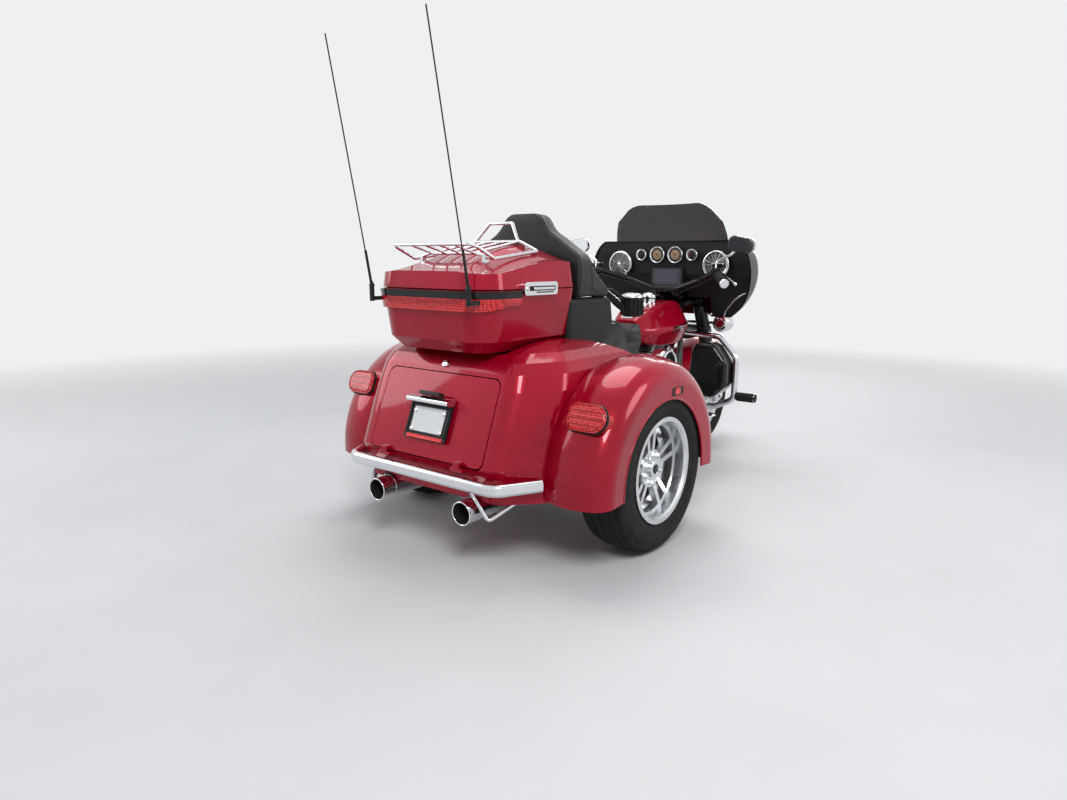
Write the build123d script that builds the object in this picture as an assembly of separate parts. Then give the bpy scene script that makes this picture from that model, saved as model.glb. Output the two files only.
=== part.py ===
from build123d import *
import math
import os

os.makedirs("parts", exist_ok=True)

# Motorized touring trike, in millimetres: X to the right, Y forward, Z up.
# The model is laid out from the ground under the rear axle, and is written
# with its origin on the ground under the middle of its length.

# Driving sizes
WHEELBASE = 1670
REAR_TRACK = 1150
FRONT_TYRE_RADIUS = 320
FRONT_TYRE_WIDTH = 130
FRONT_BEAD_RADIUS = 203
REAR_TYRE_RADIUS = 323.5
REAR_TYRE_WIDTH = 209
REAR_BEAD_RADIUS = 191
TYRE_WALL = 13
BEAD_HEIGHT = 17
RAKE_DEG = 26
TRAIL = 99
FORK_SPACING = 236
PANEL_WALL = 5
SEAT_GAP = 0.3
MOVING_GAP = 5
WHIP_TIP_Y = -788
WHIP_TIP_Z = 1850

# Places that the sizes give
FRONT_Y = WHEELBASE + FRONT_TYRE_RADIUS
MID_Y = (FRONT_Y + WHIP_TIP_Y) / 2
RAKE = math.radians(RAKE_DEG)
AXIS_Y_GROUND = WHEELBASE + TRAIL
COCKPIT_Y = WHEELBASE - 470


def axis_y(z):
    """Y of the steering axis at the height z."""
    return AXIS_Y_GROUND - z * math.tan(RAKE)


def fork_y(z):
    """Y of the fork tubes, which run beside the axis and carry the axle."""
    return WHEELBASE - (z - FRONT_TYRE_RADIUS) * math.tan(RAKE)


def along_axis(z, radius, length, x=0, forward=0):
    """A cylinder along the steering direction, centred at the height z."""
    middle = Location((x, axis_y(z) + forward, z), (RAKE_DEG, 0, 0))
    return middle * Cylinder(radius, length)


def rounded(corners, plane=Plane.XY):
    """A closed outline from rows of (a, b, corner radius), drawn on a plane."""
    sketch = make_face(Polyline(*[(a, b) for a, b, _ in corners], close=True))
    for a, b, radius in corners:
        if radius:
            corner = sketch.vertices().sort_by_distance((a, b, 0))[0]
            sketch = fillet(corner, radius)
    return plane * sketch


def side_block(corners, x_low, x_high):
    """A side outline in (Y, Z, radius), pushed through from x_low to x_high."""
    face = rounded(corners, Plane.YZ.offset(x_low))
    return extrude(face, amount=x_high - x_low)


def front_block(corners, y_low, y_high):
    """A front outline in (X, Z, radius), pushed through from y_low to y_high."""
    face = rounded(corners, Plane((0, y_high, 0), x_dir=(1, 0, 0), z_dir=(0, -1, 0)))
    return extrude(face, amount=y_high - y_low)


def plan_block(corners, z_low, z_high):
    """A plan outline in (X, Y, radius), raised from z_low to z_high."""
    return extrude(rounded(corners, Plane.XY.offset(z_low)), amount=z_high - z_low)


def bar(points, radius, bend=0):
    """A round bar through the points, bent at each with the radius bend."""
    if len(points) == 2:
        path = Line(*points)
    else:
        path = FilletPolyline(*points, radius=bend)
    return sweep((path ^ 0) * Circle(radius), path=path)


def x_cylinder(x_low, x_high, y, z, radius):
    """A cylinder that lies along X."""
    middle = Location(((x_low + x_high) / 2, y, z), (0, 90, 0))
    return middle * Cylinder(radius, x_high - x_low)


def y_cylinder(x, y_low, y_high, z, radius):
    """A cylinder that lies along Y."""
    middle = Location((x, (y_low + y_high) / 2, z), (90, 0, 0))
    return middle * Cylinder(radius, y_high - y_low)


def block(x_low, x_high, y_low, y_high, z_low, z_high):
    """A plain block between the given planes."""
    centre = ((x_low + x_high) / 2, (y_low + y_high) / 2, (z_low + z_high) / 2)
    return Pos(*centre) * Box(x_high - x_low, y_high - y_low, z_high - z_low)


def both_sides(part):
    """The part with its mirror image across the middle."""
    return [part, mirror(part, about=Plane.YZ)]


def save(node, *pieces):
    """Write the pieces of one sub-part, moved to the origin at mid length."""
    solids = [solid for piece in pieces for solid in piece.solids()]
    shape = Compound(solids).moved(Location((0, -MID_Y, 0)))
    export_step(shape, f"parts/{node}.step")


# Tyres and wheels, each made round X at its own centre


def tyre(radius, width, bead_radius, bead_half, tread_half, shoulder_drop):
    """A hollow tyre: side walls and crown as arcs, open at the beads."""

    def ring(inset):
        bead = (bead_half - inset, bead_radius)
        heel = (bead_half - inset, bead_radius + BEAD_HEIGHT)
        wall = (width / 2 - inset, heel[1] + 0.36 * (radius - heel[1]))
        shoulder = (tread_half - 0.6 * inset, radius - shoulder_drop - inset)
        crown = (0, radius - inset)
        left = [(-x, y) for x, y in (shoulder, wall, heel, bead)]
        return [
            Line(bead, heel),
            ThreePointArc(heel, wall, shoulder),
            ThreePointArc(shoulder, crown, left[0]),
            ThreePointArc(left[0], left[1], left[2]),
            Line(left[2], left[3]),
        ]

    ends = [
        Line((side * bead_half, bead_radius), (side * (bead_half - TYRE_WALL), bead_radius))
        for side in (-1, 1)
    ]
    section = make_face(ring(0) + ring(TYRE_WALL) + ends)
    return revolve(section, axis=Axis.X, revolution_arc=360)


RIM_SEAT_GAP = 0.3
BARREL_WALL = 8
# Shares of the half width at which the drop centre starts and ends
FRONT_WELL = (-0.62, -0.4, 0.3, 0.5)
REAR_WELL = (-0.83, -0.7, -0.15, 0.05)


def barrel(bead_radius, half_width, well_shares):
    """The wheel's barrel: flanges, bead seats and drop centre."""
    seat = bead_radius - RIM_SEAT_GAP
    flange = bead_radius + 16
    well = bead_radius - 20
    lip = half_width - 10
    fall, low, high, rise = (lip * share for share in well_shares)
    outer = [
        (-half_width, flange),
        (-lip, flange),
        (-lip, seat),
        (fall, seat),
        (low, well),
        (high, well),
        (rise, seat),
        (lip, seat),
        (lip, flange),
        (half_width, flange),
    ]
    inner = [
        (half_width, seat - 1),
        (lip, seat - BARREL_WALL),
        (rise, seat - BARREL_WALL),
        (high, well - BARREL_WALL),
        (low, well - BARREL_WALL),
        (fall, seat - BARREL_WALL),
        (-lip, seat - BARREL_WALL),
        (-half_width, seat - 1),
    ]
    section = make_face(Polyline(*outer, *inner, close=True))
    return revolve(section, axis=Axis.X, revolution_arc=360)


def spokes(pairs, hub_radius, rim_radius, x_low, x_high, twin_hub, twin_rim, thick):
    """Double spokes: each pair spreads from the hub to the barrel."""
    result = []
    for index in range(pairs):
        for side in (-1, 1):
            foot = side * twin_hub
            head = side * twin_rim
            outline = Polyline(
                (foot - thick / 2, hub_radius),
                (foot + thick / 2, hub_radius),
                (head + thick * 0.6, rim_radius),
                (head - thick * 0.6, rim_radius),
                close=True,
            )
            arm = extrude(Plane.YZ.offset(x_low) * make_face(outline), amount=x_high - x_low)
            result.append(Rot(X=index * 360 / pairs) * arm)
    return result


STUB_RADIUS = 25
STUB_BORE = STUB_RADIUS + 0.1
REAR_HUB_HALF = 30
HUB_RADIUS = 74
LUG_CIRCLE = 57
SPOKE_BACK = 12
SPOKE_FACE = 38
HUB_FACE = 42


def rear_rim():
    """Rear wheel with its outer side towards +X."""
    wheel = barrel(REAR_BEAD_RADIUS, 95, REAR_WELL)
    hub = x_cylinder(-REAR_HUB_HALF, HUB_FACE, 0, 0, HUB_RADIUS)
    hub += x_cylinder(HUB_FACE, HUB_FACE + 16, 0, 0, 34)
    for arm in spokes(5, 60, REAR_BEAD_RADIUS - 9, SPOKE_BACK, SPOKE_FACE, 15, 30, 18):
        hub += arm
    ring_radius = REAR_BEAD_RADIUS - BARREL_WALL
    face_ring = x_cylinder(SPOKE_BACK, SPOKE_FACE + 3, 0, 0, ring_radius + 2)
    face_ring -= x_cylinder(SPOKE_BACK - 1, SPOKE_FACE + 4, 0, 0, ring_radius - 10)
    hub += face_ring
    wheel += hub
    for index in range(5):
        angle = math.radians(90 + 72 * index + 36)
        lug_y = LUG_CIRCLE * math.cos(angle)
        lug_z = LUG_CIRCLE * math.sin(angle)
        wheel += x_cylinder(HUB_FACE - 6, HUB_FACE + 12, lug_y, lug_z, 9.5)
    disc = x_cylinder(-62, -54, 0, 0, 145) - x_cylinder(-63, -53, 0, 0, 66)
    hat = x_cylinder(-62, -REAR_HUB_HALF, 0, 0, HUB_RADIUS) - x_cylinder(-63, -29, 0, 0, 66)
    wheel += disc
    wheel += hat
    return wheel - x_cylinder(-REAR_HUB_HALF - 1, REAR_HUB_HALF, 0, 0, STUB_BORE)


FRONT_AXLE_RADIUS = 12.5
FRONT_HUB_HALF = 52
DISC_X = 68


def front_rim():
    """Front wheel with the two brake discs on its hub."""
    wheel = barrel(FRONT_BEAD_RADIUS, 50, FRONT_WELL)
    hub = x_cylinder(-FRONT_HUB_HALF, FRONT_HUB_HALF, 0, 0, 44)
    for arm in spokes(5, 38, FRONT_BEAD_RADIUS - 24, -14, 14, 12, 26, 17):
        hub += arm
    for side in (-1, 1):
        low, high = sorted((side * DISC_X, side * (DISC_X + 5)))
        hub += x_cylinder(low, high, 0, 0, 150) - x_cylinder(low - 1, high + 1, 0, 0, 96)
        for index in range(5):
            arm = block(low, high, -9, 9, 40, 100)
            hub += Rot(X=index * 72) * arm
        near, far = sorted((side * (FRONT_HUB_HALF - 2), side * (DISC_X + 5)))
        hub += x_cylinder(near, far, 0, 0, 48)
    wheel += hub
    return wheel - x_cylinder(-90, 90, 0, 0, FRONT_AXLE_RADIUS + 0.1)


FRONT_WHEEL_AT = Pos(0, WHEELBASE, FRONT_TYRE_RADIUS)
REAR_WHEEL_AT = Pos(REAR_TRACK / 2, 0, REAR_TYRE_RADIUS)

save(
    "front_tyre",
    FRONT_WHEEL_AT
    * tyre(FRONT_TYRE_RADIUS, FRONT_TYRE_WIDTH, FRONT_BEAD_RADIUS, 39.7, 50, 17),
)
save("front_rim", FRONT_WHEEL_AT * front_rim())
rear_tyre_right = REAR_WHEEL_AT * tyre(
    REAR_TYRE_RADIUS, REAR_TYRE_WIDTH, REAR_BEAD_RADIUS, 84.7, 84, 11
)
rear_rim_right = REAR_WHEEL_AT * rear_rim()
save("rear_tyre_right", rear_tyre_right)
save("rear_tyre_left", mirror(rear_tyre_right, about=Plane.YZ))
save("rear_rim_right", rear_rim_right)
save("rear_rim_left", mirror(rear_rim_right, about=Plane.YZ))

# Rear axle: housing, middle case, arms to the pivot and the two stub shafts

AXLE_Z = REAR_TYRE_RADIUS
BODY_HALF = 450
AXLE_TUBE = 38
DIFF_RADIUS = 92
ARM_X = 150
PIVOT_Y = 440
PIVOT_Z = 335


def rear_axle():
    shoulder_x = REAR_TRACK / 2 - REAR_HUB_HALF - SEAT_GAP
    tip_x = REAR_TRACK / 2 + REAR_HUB_HALF - 2
    axle = x_cylinder(-shoulder_x + 60, shoulder_x - 60, 0, AXLE_Z, AXLE_TUBE)
    for side in (-1, 1):
        low, high = sorted((side * (shoulder_x - 90), side * shoulder_x))
        axle += x_cylinder(low, high, 0, AXLE_Z, 46)
        low, high = sorted((side * (shoulder_x - 20), side * tip_x))
        axle += x_cylinder(low, high, 0, AXLE_Z, STUB_RADIUS)
        arm = bar([(side * ARM_X, 0, AXLE_Z), (side * ARM_X, PIVOT_Y, PIVOT_Z)], 27)
        axle += arm
    case = x_cylinder(-95, 95, 0, AXLE_Z, DIFF_RADIUS)
    case = fillet(case.edges().filter_by(GeomType.CIRCLE), 30)
    axle += case
    axle += x_cylinder(-ARM_X, ARM_X, PIVOT_Y, PIVOT_Z, 30)
    return axle


save("rear_axle", rear_axle())

# Rear fenders: one curved shell turned round the wheel

FENDER_Y = -20
FENDER_Z = 300
FENDER_ARC = 186


def fender_outline(inset):
    """Crown of the fender as (X, radius) points, moved in by the inset."""
    inner_x = BODY_HALF + SEAT_GAP + inset
    return [
        (inner_x, 352),
        (inner_x, 440 - inset),
        (560, 462 - inset),
        (644 - 0.5 * inset, 446 - 0.9 * inset),
        (680 - 0.8 * inset, 418 - 0.7 * inset),
        (695 - inset, 372),
        (692 - inset, 306),
    ]


def fender_edges(points):
    return [
        Line(points[0], points[1]),
        ThreePointArc(points[1], points[2], points[3]),
        ThreePointArc(points[3], points[4], points[5]),
        Line(points[5], points[6]),
    ]


def fender():
    outer = fender_outline(0)
    inner = fender_outline(PANEL_WALL)
    edges = fender_edges(outer) + fender_edges(inner)
    edges += [Line(outer[0], inner[0]), Line(outer[6], inner[6])]
    section = make_face(edges)
    shell = revolve(Rot(X=-(FENDER_ARC - 180) / 2) * section, axis=Axis.X, revolution_arc=FENDER_ARC)
    return Pos(0, FENDER_Y, FENDER_Z) * shell


def fender_envelope(extra):
    """The space under the fender's outside, to seat things on it."""
    points = fender_outline(-extra)
    edges = fender_edges(points)
    edges += [Polyline(points[6], (points[6][0], 1), (points[0][0], 1), points[0])]
    shape = revolve(make_face(edges), axis=Axis.X, revolution_arc=360)
    return Pos(0, FENDER_Y, FENDER_Z) * shape


fender_right = fender()
save("fender_right", fender_right)
save("fender_left", mirror(fender_right, about=Plane.YZ))

# Places of the mufflers, which the body's skirt clears

MUFFLER_X = 224
MUFFLER_Z = 230
MUFFLER_RADIUS = 42.5
MUFFLER_FRONT = 380
TIP_Y = -649
TIP_RADIUS = 44.5
TIP_LENGTH = 60
BORE_RADIUS = 39.5
BORE_DEPTH = 220
SKIRT_GAP = 8.5

# Outline of the top case, for which the body's top makes room

CASE_FRONT = -40
CASE_BOTTOM_Z = 782
CASE_SEAM_Z = 1004


def case_section(z, half, rear, front, corner, grow=0):
    corners = [
        (-half - grow, rear - grow, corner + grow),
        (half + grow, rear - grow, corner + grow),
        (half + grow, front + grow, corner * 0.45 + grow),
        (-half - grow, front + grow, corner * 0.45 + grow),
    ]
    return rounded(corners, Plane.XY.offset(z))


def case_loft(grow, bottom=0, top=0):
    """The base of the top case, which flares from its floor to the seam."""
    return loft(
        [
            case_section(CASE_BOTTOM_Z + bottom, 222, -528, CASE_FRONT - 30, 70, grow),
            case_section(CASE_BOTTOM_Z + 42, 262, -566, CASE_FRONT - 8, 90, grow),
            case_section(CASE_SEAM_Z - top, 288, -592, CASE_FRONT, 115, grow),
        ],
        ruled=True,
    )


# Rear body with the luggage space, its skirt and its door

BODY_LEVELS = [
    # z, side in, rear corner in, rear y, side y
    (292, 0, 115, -585, -450),
    (395, 0, 100, -616, -450),
    (560, 0, 98, -552, -400),
    (655, 0, 99, -514, -350),
    (712, 14, 104, -491, -318),
    (750, 40, 118, -466, -290),
    (780, 78, 140, -420, -262),
    (800, 122, 175, -360, -240),
    (816, 205, 250, -270, -200),
]
SKIRT_LEVEL = (264, 0, 120, -580, -450)
BODY_FRONT = 300
DECK_Z = 772
# Arch of the body's top, as a cylinder across it
ARCH_Y = -179
ARCH_Z = 23
ARCH_RADIUS = 790
RECESS_GAP = 12
STEP_Y = -125
STEP_Z = 432
DOOR_TOP = (-495, 696)
DOOR_FOOT = (-618, 389)
DOOR_HALF = 289
DOOR_GAP = 4
DOOR_THICK = 7
DOOR_FACE = 3
DOOR_RISE = (DOOR_TOP[0] - DOOR_FOOT[0], DOOR_TOP[1] - DOOR_FOOT[1])
DOOR_LENGTH = math.hypot(*DOOR_RISE)
DOOR_LEAN = (DOOR_RISE[0] / DOOR_LENGTH, DOOR_RISE[1] / DOOR_LENGTH)


def body_section(level, inset):
    z, side_in, rear_in, rear, side = level
    wide = BODY_HALF - side_in - inset
    half = BODY_HALF - rear_in - inset
    corners = [
        (-half, rear + inset, 85),
        (half, rear + inset, 85),
        (wide, side, 60),
        (wide, BODY_FRONT - inset, 40),
        (-wide, BODY_FRONT - inset, 40),
        (-wide, side, 60),
    ]
    return rounded(corners, Plane.XY.offset(z))


def body_solid(inset):
    """The body's outside moved in: arched on top, with a bed for the case."""
    foot = BODY_LEVELS[0]
    faces = [body_section((foot[0] + max(inset, 0),) + foot[1:], inset)]
    faces += [body_section(level, inset) for level in BODY_LEVELS[1:]]
    arch = x_cylinder(-BODY_HALF - 5, BODY_HALF + 5, ARCH_Y, ARCH_Z, ARCH_RADIUS - inset)
    bed = case_loft(RECESS_GAP + inset, DECK_Z - CASE_BOTTOM_Z - inset)
    return (loft(faces, ruled=True) & arch) - bed


def skirt():
    """The valance under the body, notched round the mufflers."""
    ring = body_section(SKIRT_LEVEL, 0) - body_section(SKIRT_LEVEL, PANEL_WALL)
    wall = extrude(ring, amount=BODY_LEVELS[0][0] - SKIRT_LEVEL[0] + 0.8 * PANEL_WALL)
    wall &= block(-BODY_HALF - 5, BODY_HALF + 5, -700, STEP_Y - PANEL_WALL, SKIRT_LEVEL[0], 400)
    for side in (-1, 1):
        wall -= y_cylinder(side * MUFFLER_X, -700, 0, MUFFLER_Z, TIP_RADIUS + SKIRT_GAP)
    return wall


def door_point(up, out):
    """(Y, Z) at a distance up the leaning rear face and out from it."""
    lean_y, lean_z = DOOR_LEAN
    return DOOR_FOOT[0] + up * lean_y - out * lean_z, DOOR_FOOT[1] + up * lean_z + out * lean_y


def door_plane(out):
    """A plane along the rear face, with X to the right and Y up the face."""
    y, z = door_point(0, out)
    return Plane((0, y, z), x_dir=(1, 0, 0), z_dir=(0, -DOOR_LEAN[1], DOOR_LEAN[0]))


def door_prism(half, grow, low, high):
    """A slab along the leaning rear face, from low to high outwards."""
    corners = [
        (-half - 5 - grow, -grow, 26),
        (half + 5 + grow, -grow, 26),
        (half + grow, DOOR_LENGTH + grow, 34),
        (-half - grow, DOOR_LENGTH + grow, 34),
    ]
    return extrude(rounded(corners, door_plane(low)), amount=high - low)


HINGE_Y = DOOR_FOOT[0] - 14
HINGE_Z = DOOR_FOOT[1] - 9
HINGE_X = 190
PIN_RADIUS = 4
KNUCKLE_RADIUS = 7.5
KNUCKLE_HALF = 16
HINGE_LUG_AT = 22
HINGE_LUG_HALF = 5


def trunk_body():
    outer = body_solid(0)
    shell = outer - body_solid(PANEL_WALL)
    step = block(-BODY_HALF - 5, BODY_HALF + 5, STEP_Y, BODY_FRONT + 5, 280, STEP_Z)
    ends = (-BODY_HALF, BODY_HALF, STEP_Y - PANEL_WALL)
    floor = outer & block(*ends, BODY_FRONT, STEP_Z, STEP_Z + PANEL_WALL)
    wall = outer & block(*ends, STEP_Y, BODY_LEVELS[0][0], STEP_Z + PANEL_WALL)
    shell = shell - step + floor + wall + skirt()
    shell -= door_prism(DOOR_HALF, 0, -60, 30)
    reach = HINGE_LUG_AT + HINGE_LUG_HALF
    for side in (-1, 1):
        for place in (-HINGE_LUG_AT, HINGE_LUG_AT):
            lug_x = side * HINGE_X + place
            lug = side_block(
                [
                    (HINGE_Y - 7, HINGE_Z - 7, 6),
                    (HINGE_Y + 26, HINGE_Z - 7, 0),
                    (HINGE_Y + 26, HINGE_Z + 7, 0),
                    (HINGE_Y - 7, HINGE_Z + 7, 6),
                ],
                lug_x - HINGE_LUG_HALF,
                lug_x + HINGE_LUG_HALF,
            )
            shell += lug - body_solid(0.5)
        low, high = sorted((side * (HINGE_X - reach), side * (HINGE_X + reach)))
        shell += x_cylinder(low, high, HINGE_Y, HINGE_Z, PIN_RADIUS)
    lock = Location((0, -482, 724), (58, 0, 0)) * Cylinder(12, 18)
    return shell + lock


def trunk_door():
    panel = door_prism(DOOR_HALF, -DOOR_GAP, -DOOR_THICK, DOOR_FACE)
    for side in (-1, 1):
        low, high = sorted((side * (HINGE_X - KNUCKLE_HALF), side * (HINGE_X + KNUCKLE_HALF)))
        knuckle = x_cylinder(low, high, HINGE_Y, HINGE_Z, KNUCKLE_RADIUS)
        leaf = block(low, high, HINGE_Y - 7, HINGE_Y + 1, HINGE_Z, HINGE_Z + 24)
        foot = block(low, high, HINGE_Y - 7, HINGE_Y + 40, HINGE_Z + 16, HINGE_Z + 28)
        panel += knuckle
        panel += leaf
        panel += foot & door_prism(DOOR_HALF, 60, -2, 40)
        panel -= x_cylinder(low - 1, high + 1, HINGE_Y, HINGE_Z, PIN_RADIUS + 0.1)
    return panel


save("trunk_body", trunk_body())
save("trunk_door", trunk_door())

# Plate bracket, parallel to the door: plate, four holes and a curved visor

PLATE_OUT = 18
PLATE_THICK = 6
PLATE_LOW = 66
PLATE_HIGH = 205
PLATE_HALF = 106
PLATE_MIDDLE = 135
PLATE_HOLE_X = 146
PLATE_HOLE_UP = 70
PLATE_HOLE_RADIUS = 3.5


def plate_bracket():
    back = PLATE_OUT - PLATE_THICK
    outline = [
        (-PLATE_HALF, PLATE_LOW, 8),
        (PLATE_HALF, PLATE_LOW, 8),
        (PLATE_HALF, PLATE_HIGH, 8),
        (-PLATE_HALF, PLATE_HIGH, 8),
    ]
    plate = extrude(rounded(outline, door_plane(back)), amount=PLATE_THICK)
    for side_x in (-0.5, 0.5):
        for side_up in (-0.5, 0.5):
            place = Pos(side_x * PLATE_HOLE_X, PLATE_MIDDLE + side_up * PLATE_HOLE_UP, 0)
            plate -= door_plane(PLATE_OUT) * (place * Cylinder(PLATE_HOLE_RADIUS, 4 * PLATE_THICK))
    stem_face = DOOR_FACE + SEAT_GAP
    stem_outline = [(-45, 100, 8), (45, 100, 8), (45, 170, 8), (-45, 170, 8)]
    stem = extrude(rounded(stem_outline, door_plane(stem_face)), amount=back + 1 - stem_face)
    visor_rows = [
        # up the door, out from it, corner radius
        (200, back, 0),
        (198, 52, 4),
        (211, 55, 6),
        (226, 36, 16),
        (231, back, 0),
    ]
    visor = side_block(
        [(*door_point(up, out), radius) for up, out, radius in visor_rows], -PLATE_HALF, PLATE_HALF
    )
    return plate + stem + visor


save("plate_bracket", plate_bracket())

# Tail lamps, seated on the fenders

LAMP_X = 589
LAMP_Z = 588
LAMP_FACE_Y = -418
LAMP_LEAN_DEG = 22
LAMP_HALF = 74
LAMP_HALF_HIGH = 46


def tail_lamp():
    body = front_block(
        [
            (-LAMP_HALF, -LAMP_HALF_HIGH, 26),
            (LAMP_HALF, -LAMP_HALF_HIGH, 44),
            (LAMP_HALF, LAMP_HALF_HIGH, 44),
            (-LAMP_HALF, LAMP_HALF_HIGH, 26),
        ],
        0,
        150,
    )
    body = fillet(body.faces().sort_by(Axis.Y)[0].edges(), 12)
    body = Pos(LAMP_X, LAMP_FACE_Y, LAMP_Z) * (Rot(X=-LAMP_LEAN_DEG) * body)
    return (body - fender_envelope(SEAT_GAP)).solids().sort_by(Axis.Y)[0]


save("tail_lamps", *both_sides(tail_lamp()))

# Rear bumper on its brackets

BUMPER_Z = 338
BUMPER_Y = -643
BUMPER_DEEP = 34
BUMPER_HIGH = 46


def rear_bumper():
    end_x = BODY_HALF + 4
    bend_x = BODY_HALF - 78
    path = FilletPolyline(
        (-end_x, -486, BUMPER_Z),
        (-bend_x, BUMPER_Y, BUMPER_Z),
        (bend_x, BUMPER_Y, BUMPER_Z),
        (end_x, -486, BUMPER_Z),
        radius=70,
    )
    beam = sweep((path ^ 0) * RectangleRounded(BUMPER_DEEP, BUMPER_HIGH, 16), path=path)
    for side in (-1, 1):
        low, high = sorted((side * 235, side * 285))
        bracket = block(low, high, BUMPER_Y + 8, -560, BUMPER_Z - 14, BUMPER_Z + 6)
        beam += bracket - body_solid(-SEAT_GAP)
    return beam


save("rear_bumper", rear_bumper())

# Top case: flared base, domed lid on side hinges, lamp bar, rack and latch

LID_SEAM_Z = 1008
LID_TAPER_DEG = 8
LID_LEVELS = [
    # y, crease half width, crease z, top half width, top z
    (-600, 262, 1056, 158, 1066),
    (-400, 258, 1082, 124, 1122),
    (-165, 248, 1110, 105, 1167),
    (-30, 240, 1100, 100, 1140),
]
CASE_WALL = 4
CASE_HINGE_X = -296
CASE_HINGE_Z = 1006


def lid_solid(grow, bottom=0):
    """The lid's outside: a crown that rises forwards, in a tapered outline."""
    faces = []
    for y, crease_half, crease_z, top_half, top_z in LID_LEVELS:
        corners = [
            (-340, LID_SEAM_Z - 20, 0),
            (340, LID_SEAM_Z - 20, 0),
            (340, crease_z - 14 + grow, 0),
            (crease_half + 0.6 * grow, crease_z + grow, 50),
            (top_half, top_z + grow, 80),
            (-top_half, top_z + grow, 80),
            (-crease_half - 0.6 * grow, crease_z + grow, 50),
            (-340, crease_z - 14 + grow, 0),
        ]
        faces.append(rounded(corners, Plane((0, y, 0), x_dir=(1, 0, 0), z_dir=(0, -1, 0))))
    crown = loft(faces)
    foot = case_section(LID_SEAM_Z - bottom, 288, -592, CASE_FRONT, 115, grow)
    return crown & extrude(foot, amount=200, taper=LID_TAPER_DEG)


HINGE_PLACES = (-345, -125)
CASE_STRAP_Z = 1003


def top_case_base():
    shell = case_loft(0) - case_loft(-CASE_WALL, CASE_WALL, -1)
    for y in HINGE_PLACES:
        for end in (-26, 26):
            low, high = y + end - 5, y + end + 5
            shell += block(CASE_HINGE_X - 6, -278, low, high, 986, CASE_STRAP_Z)
            shell += y_cylinder(CASE_HINGE_X, low, high, CASE_HINGE_Z, 6.2)
        shell += y_cylinder(CASE_HINGE_X, y - 31, y + 31, CASE_HINGE_Z, PIN_RADIUS)
    for x in (-120, 120):
        for y in (-340, -150):
            shell += block(x - 22, x + 22, y - 30, y + 30, DECK_Z + SEAT_GAP, CASE_BOTTOM_Z + 2)
    return shell


def top_case_lid():
    shell = lid_solid(0) - lid_solid(-CASE_WALL, 1)
    for y in HINGE_PLACES:
        knuckle = y_cylinder(CASE_HINGE_X, y - 20, y + 20, CASE_HINGE_Z, KNUCKLE_RADIUS)
        leaf = block(CASE_HINGE_X - 6, -282, y - 20, y + 20, CASE_HINGE_Z + 3, CASE_HINGE_Z + 26)
        leaf -= lid_solid(-1)
        shell += knuckle
        shell += leaf
        shell -= y_cylinder(CASE_HINGE_X, y - 21, y + 21, CASE_HINGE_Z, PIN_RADIUS + 0.1)
    return shell


def case_lamp_bar():
    ring = case_loft(13) - case_loft(SEAT_GAP)
    keep = side_block(
        [(-640, 932, 0), (-560, 932, 0), (-470, 950, 0), (-400, 950, 0), (-400, 1002, 0), (-640, 1002, 0)],
        -320,
        320,
    )
    return ring & keep


save("top_case_base", top_case_base())
save("top_case_lid", top_case_lid())
save("case_lamp_bar", case_lamp_bar())

RACK_BAR = 6.5
RACK_HALF = 202
RACK_RAIL_Z = 1162
RACK_RAIL_Y = -552
RACK_FRONT_Y = -195
RACK_DIP_Y = -440
# Height of the rack's cross bars, at the side rails and over the crown
RACK_FRONT_Z = (1142, 1178)
RACK_DIP_Z = (1112, 1132)


def luggage_rack():
    """Chrome rails over the lid, which dip with its top and rise at the rear."""
    side_rail = [
        (RACK_HALF, RACK_FRONT_Y, RACK_FRONT_Z[0]),
        (RACK_HALF, RACK_DIP_Y, RACK_DIP_Z[0]),
        (RACK_HALF, RACK_RAIL_Y, RACK_RAIL_Z),
    ]
    rail = bar(side_rail + [(-x, y, z) for x, y, z in reversed(side_rail)], RACK_BAR, 26)
    for y, (side_z, crown_z) in ((RACK_FRONT_Y, RACK_FRONT_Z), (RACK_DIP_Y, RACK_DIP_Z)):
        arch = [(RACK_HALF, y, side_z), (118, y, crown_z), (-118, y, crown_z), (-RACK_HALF, y, side_z)]
        rail += bar(arch, RACK_BAR, 30)
        for x in (-160, 160):
            foot = block(x - 9, x + 9, y - 9, y + 9, 1060, (side_z + crown_z) / 2)
            rail += foot - lid_solid(SEAT_GAP)
    for x in (-108, -36, 36, 108):
        slat = [
            (x, RACK_FRONT_Y, RACK_FRONT_Z[1]),
            (x, RACK_DIP_Y, RACK_DIP_Z[1]),
            (x, RACK_RAIL_Y, RACK_RAIL_Z),
        ]
        rail += bar(slat, RACK_BAR - 1.5, 30)
    hoop = [
        (-112, RACK_FRONT_Y, RACK_FRONT_Z[1]),
        (-58, RACK_FRONT_Y + 28, 1250),
        (58, RACK_FRONT_Y + 28, 1250),
        (112, RACK_FRONT_Y, RACK_FRONT_Z[1]),
    ]
    return rail + bar(hoop, RACK_BAR, 18)


save("luggage_rack", luggage_rack())


def case_latch():
    body = block(286, 306, -395, -200, 985, 1032)
    body = fillet(body.edges().filter_by(Axis.X), 12)
    body -= case_loft(MOVING_GAP)
    return (body - lid_solid(SEAT_GAP)).solids().sort_by(Axis.X)[-1]


save("case_latch", case_latch())

# Frame: head tube, backbone, seat rails and the cradle under the engine

HEAD_RADIUS = 34
STEM_RADIUS = 15
HEAD_LOW_Z = 712
HEAD_HIGH_Z = 872
BACKBONE = [
    (0, axis_y(800) - 34, 800),
    (0, 860, 762),
    (0, 700, 738),
    (0, 590, 600),
    (0, 455, 372),
]
BACKBONE_RADIUS = 24
BACKBONE_BEND = 40
RAIL_X = 130
RAIL_RADIUS = 14
CRADLE_X = 140
CRADLE_Z = 180
CRADLE_RADIUS = 16


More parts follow.
